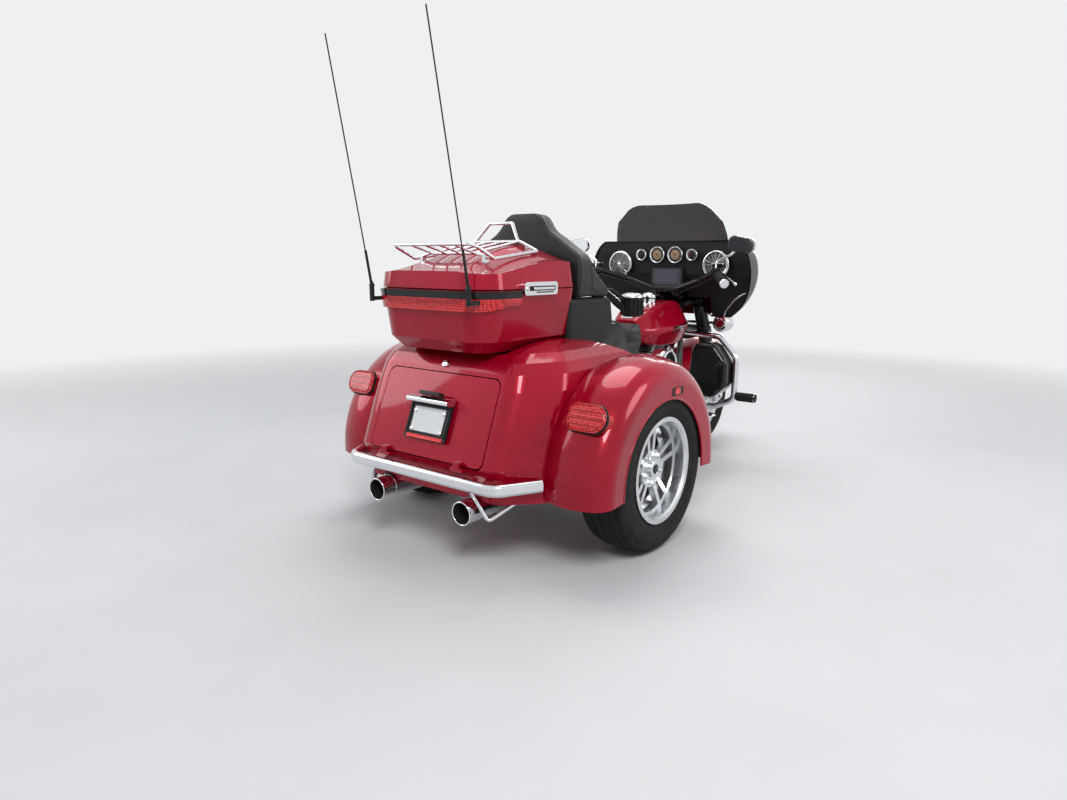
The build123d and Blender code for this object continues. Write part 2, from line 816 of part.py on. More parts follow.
def head_tube(radius):
    length = (HEAD_HIGH_Z - HEAD_LOW_Z) / math.cos(RAKE)
    return along_axis((HEAD_LOW_Z + HEAD_HIGH_Z) / 2, radius, length)


def pivot_space():
    return x_cylinder(-200, 200, PIVOT_Y, PIVOT_Z, 30 + SEAT_GAP)


def frame_backbone():
    frame = head_tube(HEAD_RADIUS) + bar(BACKBONE, BACKBONE_RADIUS, BACKBONE_BEND)
    head_y = axis_y(800) - 34
    frame += side_block([(head_y + 27, 742, 0), (head_y - 105, 800, 0), (head_y, 800, 0)], -8, 8)
    frame += x_cylinder(-RAIL_X, RAIL_X, 590, 600, RAIL_RADIUS)
    for side in (-1, 1):
        rail = [(side * RAIL_X, 590, 600), (side * RAIL_X, BODY_FRONT + SEAT_GAP, 560)]
        frame += bar(rail, RAIL_RADIUS)
    frame -= block(-400, 400, 0, BODY_FRONT + SEAT_GAP, 500, 640)
    frame -= pivot_space()
    return frame - along_axis(790, STEM_RADIUS + 0.1, 400)


def cradle_tube(side, radius):
    points = [
        (side * 26, axis_y(745) - 38, 745),
        (side * 100, 1225, 310),
        (side * CRADLE_X, 1170, CRADLE_Z),
        (side * CRADLE_X, 480, CRADLE_Z),
        (side * CRADLE_X, PIVOT_Y, PIVOT_Z),
    ]
    return bar(points, radius, 45)


def frame_cradle():
    tubes = []
    for side in (-1, 1):
        tube = cradle_tube(side, CRADLE_RADIUS) - head_tube(HEAD_RADIUS + SEAT_GAP) - pivot_space()
        tubes.append(tube - block(-400, 400, 300, 600, PIVOT_Z, 500))
    frame = tubes[0] + tubes[1]
    for y in (1000, 790, 560):
        frame += x_cylinder(-CRADLE_X, CRADLE_X, y, CRADLE_Z, CRADLE_RADIUS)
    return frame


save("frame_backbone", frame_backbone())
save("frame_cradle", frame_cradle())

# Engine: cases, two finned cylinders at 45 degrees, primary cover, air cleaner

CRANK_Y = 905
CRANK_Z = 335
CASE_FOOT_Z = CRADLE_Z + CRADLE_RADIUS + SEAT_GAP
CRANKCASE_HALF = 105
V_HALF_DEG = 22.5
DECK_AT = 150
FIN_COUNT = 11
FIN_PITCH = 15
FIN_THICK = 5
FIN_HALF = 72
ROCKER_AT = DECK_AT + FIN_COUNT * FIN_PITCH
ROCKER_HIGH = 72
AIR_Z = 590


def engine_cases():
    crankcase = side_block(
        [
            (720, CASE_FOOT_Z, 30),
            (1085, CASE_FOOT_Z, 60),
            (1085, 380, 90),
            (990, 500, 60),
            (820, 500, 60),
            (720, 430, 60),
        ],
        -CRANKCASE_HALF,
        CRANKCASE_HALF,
    )
    gearbox = side_block(
        [(532, 252, 30), (740, 252, 0), (740, 455, 0), (585, 455, 30), (532, 405, 30)], -110, 110
    )
    cover = x_cylinder(CRANKCASE_HALF - 5, 140, CRANK_Y, CRANK_Z - 5, 95)
    cover = fillet(cover.faces().sort_by(Axis.X)[-1].edges(), 15)
    tappets = block(CRANKCASE_HALF - 30, 132, 850, 960, 400, 470)
    return crankcase + gearbox + cover + tappets - barrel_room(-V_HALF_DEG) - barrel_room(V_HALF_DEG)


def barrel_room(lean):
    """The room that one barrel takes above its seat on the crankcase."""
    high = 300
    room = Pos(0, 0, DECK_AT + high / 2) * Box(200, 150, high)
    return Pos(0, CRANK_Y, CRANK_Z) * Rot(X=lean) * room


def engine_cylinder(lean):
    """One barrel, head and rocker box about an upright axis, then leaned."""
    stack = Pos(0, 0, (DECK_AT + ROCKER_AT) / 2) * Cylinder(54, ROCKER_AT - DECK_AT)
    for index in range(FIN_COUNT):
        fin = Box(2 * FIN_HALF, 2 * FIN_HALF, FIN_THICK)
        fin = fillet(fin.edges().filter_by(Axis.Z), 30)
        stack += Pos(0, 0, DECK_AT + FIN_PITCH * (index + 0.5)) * fin
    rocker = Box(138, 128, ROCKER_HIGH)
    rocker = fillet(rocker.edges().filter_by(Axis.Z), 30)
    rocker = chamfer(rocker.faces().sort_by(Axis.Z)[-1].edges(), 12)
    stack += Pos(0, 0, ROCKER_AT + ROCKER_HIGH / 2) * rocker
    leaned = Pos(0, CRANK_Y, CRANK_Z) * (Rot(X=lean) * stack)
    if lean < 0:
        return leaned & block(-100, 100, CRANK_Y + 2, CRANK_Y + 400, 400, 800)
    return leaned & block(-100, 100, CRANK_Y - 400, CRANK_Y - 2, 400, 800)


def primary_cover():
    cover = side_block(
        [(565, 235, 85), (1010, 235, 95), (1010, 430, 95), (565, 415, 85)], -215, -110 - SEAT_GAP
    )
    return fillet(cover.faces().sort_by(Axis.X)[0].edges(), 22)


def air_cleaner():
    cover = x_cylinder(128, 205, CRANK_Y, AIR_Z, 78)
    cover = fillet(cover.faces().sort_by(Axis.X)[-1].edges(), 24)
    intake = x_cylinder(20, 130, CRANK_Y, AIR_Z, 36)
    seat_room = engine_cylinder(-V_HALF_DEG) + engine_cylinder(V_HALF_DEG)
    return (cover + intake) - seat_room


save("engine_cases", engine_cases())
save("cylinders", engine_cylinder(-V_HALF_DEG), engine_cylinder(V_HALF_DEG))
save("primary_cover", primary_cover())
save("air_cleaner", air_cleaner())

# Exhaust: two headers, the crossover and a muffler on each side

def exhaust_pipes():
    front = [
        (60, 1010, 560),
        (160, 1070, 540),
        (176, 1045, 330),
        (190, 900, 222),
        (MUFFLER_X, 700, MUFFLER_Z),
        (MUFFLER_X, 370, MUFFLER_Z),
    ]
    rear = [(60, 790, 560), (165, 745, 520), (196, 690, 340), (MUFFLER_X, 610, MUFFLER_Z + 6)]
    cross = [
        (MUFFLER_X, 650, MUFFLER_Z),
        (120, 585, 228),
        (-150, 585, 228),
        (-MUFFLER_X, 480, MUFFLER_Z),
        (-MUFFLER_X, 370, MUFFLER_Z),
    ]
    system = bar(front, 22, 60) + bar(rear, 20, 45)
    system += bar(cross, 17, 30)
    for side in (-1, 1):
        x = side * MUFFLER_X
        muffler = y_cylinder(x, TIP_Y + 1, MUFFLER_FRONT, MUFFLER_Z, MUFFLER_RADIUS)
        muffler = chamfer(muffler.faces().sort_by(Axis.Y)[-1].edges(), 20)
        muffler += y_cylinder(x, TIP_Y, TIP_Y + TIP_LENGTH, MUFFLER_Z, TIP_RADIUS)
        muffler -= y_cylinder(x, TIP_Y - 1, TIP_Y + BORE_DEPTH, MUFFLER_Z, BORE_RADIUS)
        system += muffler
    return system - engine_cylinder(-V_HALF_DEG) - engine_cylinder(V_HALF_DEG)


save("exhaust_pipes", exhaust_pipes())

# Fuel tank and its console

TANK_LEVELS = [
    # y, half width, bottom z, top z
    (804, 100, 716, 812),
    (900, 146, 682, 862),
    (1060, 172, 674, 897),
    (1190, 160, 684, 894),
    (1266, 108, 716, 848),
]
TUNNEL_HALF = 82
TUNNEL_Z = 716
TUNNEL_FRONT = 1135


def tank_section(level):
    y, half, low, high = level
    middle = low + 0.42 * (high - low)
    corners = [
        (-half * 0.74, low, 20),
        (half * 0.74, low, 20),
        (half, middle, 36),
        (half * 0.56, high, 28),
        (-half * 0.56, high, 28),
        (-half, middle, 36),
    ]
    return rounded(corners, Plane((0, y, 0), x_dir=(1, 0, 0), z_dir=(0, -1, 0)))


def fuel_tank():
    """A saddle tank with a tunnel over the frame and room for the rockers."""
    tank = loft([tank_section(level) for level in TANK_LEVELS])
    half = BACKBONE_RADIUS + 6
    tank -= block(-half, half, 700, 1400, 640, 790)
    tank -= block(-TUNNEL_HALF, TUNNEL_HALF, 700, TUNNEL_FRONT, 640, TUNNEL_Z)
    return tank - bar(BACKBONE, BACKBONE_RADIUS + SEAT_GAP, BACKBONE_BEND)


def tank_console():
    strip = side_block(
        [
            (815, 800, 0),
            (815, 828, 8),
            (900, 868, 40),
            (1060, 905, 40),
            (1160, 906, 20),
            (1185, 880, 0),
        ],
        -34,
        34,
    )
    strip += Pos(0, 1040, 902) * Cylinder(40, 20)
    return strip - loft([tank_section(level) for level in TANK_LEVELS])


save("fuel_tank", fuel_tank())
save("tank_console", tank_console().solids().sort_by(SortBy.VOLUME)[-1])

# Seat, backrest, side covers and speaker pods


def seat():
    side = side_block(
        [
            (798, 730, 8),
            (798, 806, 18),
            (728, 798, 40),
            (672, 712, 40),
            (600, 694, 40),
            (446, 838, 60),
            (300, 832, 40),
            (10, 826, 20),
            (10, 640, 0),
            (600, 632, 20),
            (665, 680, 20),
            (725, 730, 20),
        ],
        -205,
        205,
    )
    plan = plan_block(
        [
            (-88, 800, 30),
            (88, 800, 30),
            (172, 690, 60),
            (172, 560, 60),
            (204, 440, 60),
            (204, 5, 40),
            (-204, 5, 40),
            (-204, 440, 60),
            (-172, 560, 60),
            (-172, 690, 60),
        ],
        600,
        900,
    )
    pad = (side & plan) - bar(BACKBONE, BACKBONE_RADIUS + SEAT_GAP, BACKBONE_BEND)
    pad -= side_channel()
    return (pad - body_solid(-SEAT_GAP)).solids().sort_by(SortBy.VOLUME)[-1]


def side_channel():
    """Room under the seat for the cross tube between the rails."""
    return x_cylinder(-RAIL_X - 30, RAIL_X + 30, 590, 600, RAIL_RADIUS + 20)


BACK_REAR = CASE_FRONT + MOVING_GAP
BACK_TOP = 1305
WING_Z = 960
WING_IN = 204
WING_OUT = 290
CUP_X = 262
CUP_Y = 420
CUP_LOW_Z = 866
CUP_HIGH_Z = 946
CUP_RADIUS = 47


def holder_arm(grow):
    """The drink holder's arm, which plugs into the right arm wing."""
    route = [
        (268, 176, 990),
        (268, 235, 990),
        (CUP_X, CUP_Y - 80, 952),
        (CUP_X, CUP_Y - CUP_RADIUS, CUP_HIGH_Z),
    ]
    return bar(route, 5 + grow, 25)


def arm_wing(side):
    x_low, x_high = sorted((side * WING_IN, side * WING_OUT))
    wing = side_block(
        [
            (BACK_REAR + 4, WING_Z, 0),
            (196, WING_Z, 14),
            (200, 1006, 22),
            (30, 1126, 60),
            (BACK_REAR + 4, 1134, 12),
        ],
        x_low,
        x_high,
    )
    outer = wing.faces().sort_by(Axis.X)[-1 if side > 0 else 0]
    return fillet(outer.edges(), 11)


def backrest():
    pad = front_block(
        [
            (-204, 842, 50),
            (204, 842, 50),
            (WING_IN, WING_Z, 0),
            (WING_OUT + 2, WING_Z, 20),
            (WING_OUT + 4, 1128, 50),
            (132, 1232, 60),
            (78, BACK_TOP, 56),
            (-78, BACK_TOP, 56),
            (-132, 1232, 60),
            (-WING_OUT - 4, 1128, 50),
            (-WING_OUT - 2, WING_Z, 20),
            (-WING_IN, WING_Z, 0),
        ],
        -60,
        140,
    )
    lean = side_block(
        [
            (BACK_REAR + 42, 835, 20),
            (BACK_REAR + 118, 835, 30),
            (BACK_REAR + 110, 1020, 80),
            (BACK_REAR + 88, BACK_TOP + 2, 30),
            (BACK_REAR, BACK_TOP + 2, 25),
            (BACK_REAR, 1010, 40),
        ],
        -WING_OUT - 10,
        WING_OUT + 10,
    )
    return (pad & lean) + arm_wing(-1) + arm_wing(1) - holder_arm(SEAT_GAP)


def speaker_pod():
    top = WING_Z - SEAT_GAP
    body = side_block(
        [
            (CASE_FRONT - 50, 770, 0),
            (150, 730, 50),
            (235, 850, 40),
            (215, top, 25),
            (CASE_FRONT - 50, top, 0),
        ],
        212,
        284,
    )
    body = fillet(body.faces().sort_by(Axis.X)[-1].edges(), 18)
    body -= case_loft(SEAT_GAP)
    return (body - body_solid(-SEAT_GAP)).solids().sort_by(SortBy.VOLUME)[-1]


def side_cover():
    inner = RAIL_X + RAIL_RADIUS + SEAT_GAP
    cover = side_block(
        [(335, 440, 30), (560, 420, 40), (610, 520, 40), (575, 628, 30), (340, 628, 20)], inner, inner + 26
    )
    return fillet(cover.faces().sort_by(Axis.X)[-1].edges(), 12)


save("seat", seat())
save("backrest", backrest())
save("speaker_pods", *both_sides(speaker_pod()))
save("side_covers", *both_sides(side_cover()))

# Engine guard, lower fairings and foot rests

GUARD_RADIUS = 16
GUARD_X = 404
GUARD_Y = 1268


def guard_loop(side):
    points = [
        (side * 30, axis_y(716) - 78, 716),
        (side * 300, GUARD_Y + 14, 712),
        (side * GUARD_X, GUARD_Y, 610),
        (side * GUARD_X, GUARD_Y, 385),
        (side * 300, GUARD_Y, 335),
        (side * 100, 1232, 318),
    ]
    loop = bar(points, GUARD_RADIUS, 48)
    loop -= cradle_tube(side, CRADLE_RADIUS + SEAT_GAP)
    loop -= head_tube(HEAD_RADIUS + SEAT_GAP)
    return loop.solids().sort_by(SortBy.VOLUME)[-1]


def lower_fairing():
    """A closed storage pod inside the guard."""
    edge = GUARD_X - GUARD_RADIUS - SEAT_GAP
    pod = front_block(
        [
            (165, 400, 50),
            (edge - 72, 392, 60),
            (edge, 458, 60),
            (edge, 590, 70),
            (edge - 78, 684, 60),
            (190, 684, 60),
        ],
        1176,
        GUARD_Y + 22,
    )
    pod = fillet(pod.faces().sort_by(Axis.Y)[-1].edges(), 22)
    return fillet(pod.faces().sort_by(Axis.Y)[0].edges(), 22)


def foot_rests():
    pieces = []
    for side in (-1, 1):
        low, high = sorted((side * 236, side * 350))
        board = plan_block(
            [(low, 905, 30), (high, 905, 30), (high, 1175, 45), (low, 1175, 45)], 300, 318
        )
        arm = bar([(side * 250, 1040, 302), (side * CRADLE_X, 1040, CRADLE_Z)], 10)
        rail_room = y_cylinder(side * CRADLE_X, 800, 1200, CRADLE_Z, CRADLE_RADIUS + SEAT_GAP)
        pieces.append(board + arm - rail_room)
        low, high = sorted((side * 232, side * 320))
        rear_board = plan_block(
            [(low, 470, 25), (high, 470, 25), (high, 640, 35), (low, 640, 35)], 372, 388
        )
        stay = bar([(side * 250, 555, 376), (side * (CRADLE_X + 2), 470, 262)], 9)
        stay -= cradle_tube(side, CRADLE_RADIUS + SEAT_GAP)
        pieces.append(rear_board + stay)
        low, high = sorted((side * (GUARD_X + GUARD_RADIUS + SEAT_GAP), side * 522))
        pieces.append(x_cylinder(low, high, GUARD_Y, 402, 22))
    return pieces


save("engine_guard", guard_loop(-1), guard_loop(1))
save("lower_fairings", *both_sides(lower_fairing()))
save("foot_rests", *foot_rests())

# Whips at the rear corners of the top case, and the drink holder

WHIP_X = 245
WHIP_Y = -622


def whip(side):
    base = Pos(side * WHIP_X, WHIP_Y, 985) * Cylinder(9, 60)
    mast = bar([(side * WHIP_X, WHIP_Y, 1010), (side * (WHIP_X - 4), WHIP_TIP_Y, WHIP_TIP_Z)], 2.5)
    ferrule = bar([(side * WHIP_X, WHIP_Y, 1008), (side * WHIP_X, WHIP_Y - 24, 1140)], 5)
    arm = block(side * WHIP_X - 8, side * WHIP_X + 8, WHIP_Y, -560, 958, 972)
    return base + ferrule + mast + (arm - case_loft(13 + SEAT_GAP))


def drink_holder():
    middle_z = (CUP_LOW_Z + CUP_HIGH_Z) / 2
    high = CUP_HIGH_Z - CUP_LOW_Z
    cup = Pos(CUP_X, CUP_Y, middle_z) * Cone(CUP_RADIUS - 7, CUP_RADIUS, high)
    cup -= Pos(CUP_X, CUP_Y, middle_z + 4) * Cone(CUP_RADIUS - 11, CUP_RADIUS - 4, high)
    rim = Pos(CUP_X, CUP_Y, CUP_HIGH_Z) * Torus(CUP_RADIUS + 2, 6)
    clear = Pos(CUP_X, CUP_Y, CUP_HIGH_Z + 20) * Cylinder(CUP_RADIUS - 4, 60)
    return (holder_arm(0) + rim) - clear + cup


save("whips", whip(-1), whip(1))
save("drink_holder", drink_holder())

# Fork, with the clamps, stem, axle and brake calipers

LOW_CLAMP = 28
HIGH_CLAMP = 24
LOW_CLAMP_Z = HEAD_LOW_Z - SEAT_GAP - LOW_CLAMP / 2 * math.cos(RAKE)
HIGH_CLAMP_Z = HEAD_HIGH_Z + SEAT_GAP + HIGH_CLAMP / 2 * math.cos(RAKE)
SLIDER_RADIUS = 31
COVER_RADIUS = 37
HEADLAMP_Z = 985
HEADLAMP_RADIUS = 88
HEADLAMP_REAR_Y = COCKPIT_Y + 300
FORK_X = FORK_SPACING / 2


def clamp(z, thick):
    outline = rounded(
        [
            (-44, -32, 20),
            (44, -32, 20),
            (FORK_X + 38, 28, 20),
            (FORK_X + 38, 88, 25),
            (-FORK_X - 38, 88, 25),
            (-FORK_X - 38, 28, 20),
        ]
    )
    plate = extrude(outline, amount=thick / 2, both=True)
    return Location((0, axis_y(z), z), (RAKE_DEG, 0, 0)) * plate


def fork_leg(side, radius, z_low, z_high):
    middle = (z_low + z_high) / 2
    ahead = fork_y(middle) - axis_y(middle)
    length = (z_high - z_low) / math.cos(RAKE)
    return along_axis(middle, radius, length, side * FORK_X, ahead)


def caliper(side):
    low, high = sorted((side * 52, side * (FORK_X - 8)))
    body = block(low, high, -96, -26, 100, 168)
    body = fillet(body.edges().filter_by(Axis.X), 18)
    slot_low, slot_high = sorted((side * (DISC_X - MOVING_GAP), side * (DISC_X + 5 + MOVING_GAP)))
    slot = block(slot_low, slot_high, -110, 0, 80, 156)
    body -= slot
    return FRONT_WHEEL_AT * (Rot(X=RAKE_DEG) * body)


def fork():
    result = clamp(LOW_CLAMP_Z, LOW_CLAMP) + clamp(HIGH_CLAMP_Z, HIGH_CLAMP)
    stem_length = (HIGH_CLAMP_Z - LOW_CLAMP_Z) / math.cos(RAKE)
    result += along_axis((LOW_CLAMP_Z + HIGH_CLAMP_Z) / 2, STEM_RADIUS, stem_length)
    for side in (-1, 1):
        result += fork_leg(side, 24, 330, HIGH_CLAMP_Z)
        result += fork_leg(side, SLIDER_RADIUS, 296, 600)
        result += fork_leg(side, COVER_RADIUS, 625, HIGH_CLAMP_Z - 10)
        near, far = sorted((side * (DISC_X + 5 + SEAT_GAP), side * FORK_X))
        result += x_cylinder(near, far, WHEELBASE, FRONT_TYRE_RADIUS, 20)
        low, high = sorted((side * (FENDER_HALF + SEAT_GAP), side * (FORK_X - 10)))
        result += block(low, high, fork_y(580) - 20, fork_y(580) + 20, 562, 600)
        result += caliper(side)
    for x in (-48, 48):
        result += bar([
            (x, axis_y(900) + 62, 900),
            (x, HEADLAMP_REAR_Y - 60, HEADLAMP_Z),
            (x, HEADLAMP_REAR_Y - SEAT_GAP, HEADLAMP_Z),
        ], 9, 26)
    result += x_cylinder(-FORK_X - 24, FORK_X + 24, WHEELBASE, FRONT_TYRE_RADIUS, FRONT_AXLE_RADIUS)
    return result


# Front fender: a deep shell turned round the front axle

FENDER_HALF = 84
FRONT_FENDER_RADIUS = 352
FRONT_FENDER_LOW = 252
FRONT_FENDER_START = 24
FRONT_FENDER_ARC = 172


def front_fender():
    def edges(inset):
        half = FENDER_HALF - inset
        top = FRONT_FENDER_RADIUS - inset
        foot = (half, FRONT_FENDER_LOW)
        knee = (half, top - 34)
        points = [foot, knee, (0, top), (-half, knee[1]), (-half, foot[1])]
        return points, [Line(points[0], points[1]), ThreePointArc(*points[1:4]), Line(points[3], points[4])]

    outer, outer_edges = edges(0)
    inner, inner_edges = edges(3.5)
    ends = [Line(outer[0], inner[0]), Line(outer[4], inner[4])]
    section = make_face(outer_edges + inner_edges + ends)
    shell = revolve(Rot(X=FRONT_FENDER_START) * section, axis=Axis.X, revolution_arc=FRONT_FENDER_ARC)
    return FRONT_WHEEL_AT * shell


save("fork", fork())
save("front_fender", front_fender())

# Handlebar fairing: outer shell, dash, windshield

FAIRING_LEVELS = [
    # z, half width, and the front, the side and the rear ahead of the cockpit
    (812, 335, 290, 185, 125),
    (905, 432, 360, 150, 85),
    (1040, 476, 400, 150, 28),
    (1150, 456, 375, 135, 16),
    (1215, 396, 310, 110, 16),
]
FAIRING_WALL = 5
FORK_GAP_HALF = 178
# Wide enough for the edge to pass the tank at full lock
TANK_GAP_HALF = 225


def fairing_section(level, inset, z):
    half = level[1]
    front, side, rear = (COCKPIT_Y + ahead for ahead in level[2:])
    wide = half - inset
    rear -= 4 * inset
    corners = [
        (-wide, rear, 0),
        (wide, rear, 0),
        (wide, side, 95),
        (half * 0.36, front - inset, 110),
        (-half * 0.36, front - inset, 110),
        (-wide, side, 95),
    ]
    return rounded(corners, Plane.XY.offset(z))


def fairing_loft(inset, trim=0):
    faces = []
    last = len(FAIRING_LEVELS) - 1
    for index, level in enumerate(FAIRING_LEVELS):
        z = level[0] + (trim if index == 0 else 0) - (trim if index == last else 0)
        faces.append(fairing_section(level, inset, z))
    return loft(faces)


def cockpit_block(half, rear, front, z_low, z_high):
    """A block across the middle, between two places ahead of the cockpit."""
    return block(-half, half, COCKPIT_Y + rear, COCKPIT_Y + front, z_low, z_high)


def cockpit_disc(x, rear, front, z, radius):
    return y_cylinder(x, COCKPIT_Y + rear, COCKPIT_Y + front, z, radius)


def fairing_outer():
    shell = fairing_loft(0) - fairing_loft(FAIRING_WALL, FAIRING_WALL)
    shell -= cockpit_block(FORK_GAP_HALF, -100, 278, 780, 905)
    shell -= cockpit_block(TANK_GAP_HALF, -100, 200, 780, 905)
    return shell - cockpit_disc(0, 280, 440, HEADLAMP_Z, HEADLAMP_RADIUS + SEAT_GAP)


DASH_THICK = 16


def dash_band(near, far):
    """A strip in (Y, Z) along the rear edge of the fairing."""
    rear = [(COCKPIT_Y + level[4] + near, level[0]) for level in FAIRING_LEVELS]
    front = [(COCKPIT_Y + level[4] + far, level[0]) for level in reversed(FAIRING_LEVELS)]
    outline = make_face(Polyline(*rear, *front, close=True))
    return extrude(Plane.YZ.offset(-600) * outline, amount=1200)


GAUGES = [
    # x, z, radius
    (-152, 1141, 30),
    (-54, 1141, 43),
    (54, 1141, 43),
    (152, 1141, 30),
]
SPEAKER_X = 288
SPEAKER_Z = 1090
SPEAKER_RADIUS = 70
SCREEN_HALF = 100
SCREEN_LOW_Z = 968
SCREEN_HIGH_Z = 1076


def fairing_dash():
    dash = fairing_loft(FAIRING_WALL + SEAT_GAP, FAIRING_WALL + SEAT_GAP) & dash_band(8, 8 + DASH_THICK)
    dash -= cockpit_block(TANK_GAP_HALF + FAIRING_WALL, -100, 300, 780, 915)
    dash -= cockpit_block(SCREEN_HALF, -50, 200, 780, SCREEN_LOW_Z)
    for x, z, radius in GAUGES:
        dash += cockpit_disc(x, 8, 32, z, radius)
    for side in (-1, 1):
        dash += cockpit_disc(side * SPEAKER_X, 12, 40, SPEAKER_Z, SPEAKER_RADIUS)
    dash += cockpit_block(SCREEN_HALF, 22, 48, SCREEN_LOW_Z, SCREEN_HIGH_Z)
    return dash.solids().sort_by(SortBy.VOLUME)[-1]


SHIELD_LEVELS = [
    # z, half width, and the sides and the middle ahead of the cockpit
    (1215 + SEAT_GAP, 335, 45, 240),
    (1310, 312, 15, 152),
    (1408, 250, -30, 52),
]
SHIELD_THICK = 4


def windshield():
    faces = []
    for z, half, side_ahead, middle_ahead in SHIELD_LEVELS:
        side_y = COCKPIT_Y + side_ahead
        middle_y = COCKPIT_Y + middle_ahead
        t = SHIELD_THICK
        outer = ThreePointArc((-half, side_y), (0, middle_y), (half, side_y))
        inner = ThreePointArc((-half + t, side_y - t), (0, middle_y - t), (half - t, side_y - t))
        ends = [Line((-half, side_y), (-half + t, side_y - t)), Line((half, side_y), (half - t, side_y - t))]
        faces.append(Plane.XY.offset(z) * make_face([outer, inner] + ends))
    sheet = loft(faces)
    outline = front_block(
        [
            (-338, 1214, 0),
            (338, 1214, 0),
            (335, 1290, 90),
            (215, 1407, 140),
            (-215, 1407, 140),
            (-335, 1290, 90),
        ],
        COCKPIT_Y - 100,
        COCKPIT_Y + 300,
    )
    return sheet & outline


save("fairing_outer", fairing_outer())
save("fairing_dash", fairing_dash())
save("windshield", windshield())

# Front lamps: the headlamp in the fairing and the two passing lamps

PASSING_X = 214
PASSING_Z = 766
PASSING_Y = COCKPIT_Y + 296


def front_lamps():
    head = cockpit_disc(0, 300, 412, HEADLAMP_Z, HEADLAMP_RADIUS)
    head = fillet(head.faces().sort_by(Axis.Y)[-1].edges(), 12)
    rod = x_cylinder(-PASSING_X, PASSING_X, PASSING_Y, PASSING_Z, 9)
    for side in (-1, 1):
        lamp = y_cylinder(side * PASSING_X, PASSING_Y - 34, PASSING_Y + 46, PASSING_Z, 50)
        rod += fillet(lamp.faces().sort_by(Axis.Y)[0].edges(), 26)
    rod -= fork_leg(-1, COVER_RADIUS + SEAT_GAP, 600, 880)
    rod -= fork_leg(1, COVER_RADIUS + SEAT_GAP, 600, 880)
    return [head, rod]


save("front_lamps", *front_lamps())

# Handlebar with its controls, and the mirrors

BAR_RADIUS = 16
BAR_HALF_ROUTE = [
    (80, COCKPIT_Y + 6, 962),
    (215, COCKPIT_Y - 14, 1010),
    (345, COCKPIT_Y - 120, 1055),
    (455, COCKPIT_Y - 255, 1005),
]
PERCH_RADIUS = 25
GRIP_RADIUS = 20


def grip_place(side, distance):
    """A point on the grip's middle line, measured from the bar's last bend."""
    bend = Vector(*BAR_HALF_ROUTE[2])
    end = Vector(*BAR_HALF_ROUTE[3])
    place = bend + (end - bend).normalized() * distance
    return side * place.X, place.Y, place.Z


def perch(side, radius):
    return bar([grip_place(side, 2), grip_place(side, 46)], radius)


def handlebar():
    left = [(-x, y, z) for x, y, z in reversed(BAR_HALF_ROUTE)]
    result = bar(left + BAR_HALF_ROUTE, BAR_RADIUS, 45)
    bar_y, bar_z = BAR_HALF_ROUTE[0][1:]
    for side in (-1, 1):
        foot = (side * 52, axis_y(HIGH_CLAMP_Z) + 4, HIGH_CLAMP_Z + 24)
        knee = (side * 52, bar_y + 22, bar_z - 24)
        result += bar([foot, knee, (side * 52, bar_y, bar_z)], 15, 16)
        result += bar([grip_place(side, 62), grip_place(side, 196)], GRIP_RADIUS)
        result += perch(side, PERCH_RADIUS)
        x, y, z = grip_place(side, 22)
        end_x, end_y, end_z = grip_place(side, 192)
        pivot = (x + side * 12, y + 38, z + 4)
        result += bar([(x, y, z), pivot, (end_x + side * 42, end_y + 34, end_z - 2)], 6, 12)
    return result - clamp(HIGH_CLAMP_Z, HIGH_CLAMP + 2 * SEAT_GAP)


def mirror_pair():
    face = front_block(
        [(408, 1158, 34), (545, 1146, 30), (556, 1214, 34), (420, 1238, 34)],
        COCKPIT_Y - 138,
        COCKPIT_Y - 110,
    )
    head = fillet(face.faces().sort_by(Axis.Y)[-1].edges(), 10)
    route = [(357, -136, 1055), (357, -128, 1108), (430, -122, 1142), (462, -124, 1175)]
    stem = bar([(x, COCKPIT_Y + ahead, z) for x, ahead, z in route], 6, 14)
    return head + (stem - perch(1, PERCH_RADIUS + SEAT_GAP))


save("handlebar", handlebar())
save("mirrors", *both_sides(mirror_pair()))
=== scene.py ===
from math import cos, pi, radians, sin

import bmesh
import bpy
from mathutils import Matrix, Vector
from mathutils.bvhtree import BVHTree


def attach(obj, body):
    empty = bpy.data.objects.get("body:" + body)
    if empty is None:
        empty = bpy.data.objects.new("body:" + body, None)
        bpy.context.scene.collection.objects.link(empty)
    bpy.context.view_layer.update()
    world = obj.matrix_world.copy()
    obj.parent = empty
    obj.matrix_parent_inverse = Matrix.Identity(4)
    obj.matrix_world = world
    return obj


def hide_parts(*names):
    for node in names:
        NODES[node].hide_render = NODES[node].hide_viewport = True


# Motorized touring trike. Places are written in millimetres, measured from the
# ground under the rear axle, as in the part's source, and P() turns them into metres.

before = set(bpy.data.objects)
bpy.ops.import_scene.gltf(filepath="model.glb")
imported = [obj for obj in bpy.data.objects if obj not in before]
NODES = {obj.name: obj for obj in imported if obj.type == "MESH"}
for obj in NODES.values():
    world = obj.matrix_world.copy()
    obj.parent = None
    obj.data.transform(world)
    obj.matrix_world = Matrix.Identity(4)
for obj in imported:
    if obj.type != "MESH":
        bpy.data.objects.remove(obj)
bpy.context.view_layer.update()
bpy.context.scene.view_settings.view_transform = "Standard"
MID_Y = 601
REAR_AXLE_Z = 323.5
FRONT_AXLE = (0, 1670, 320)
X, Y, Z = (1, 0, 0), (0, 1, 0), (0, 0, 1)
SIDES = ((-1, "left"), (1, "right"))


def P(x, y, z):
    """Layout millimetres to metres in the shared frame."""
    return Vector((x / 1000, (y - MID_Y) / 1000, z / 1000))


# Node helpers


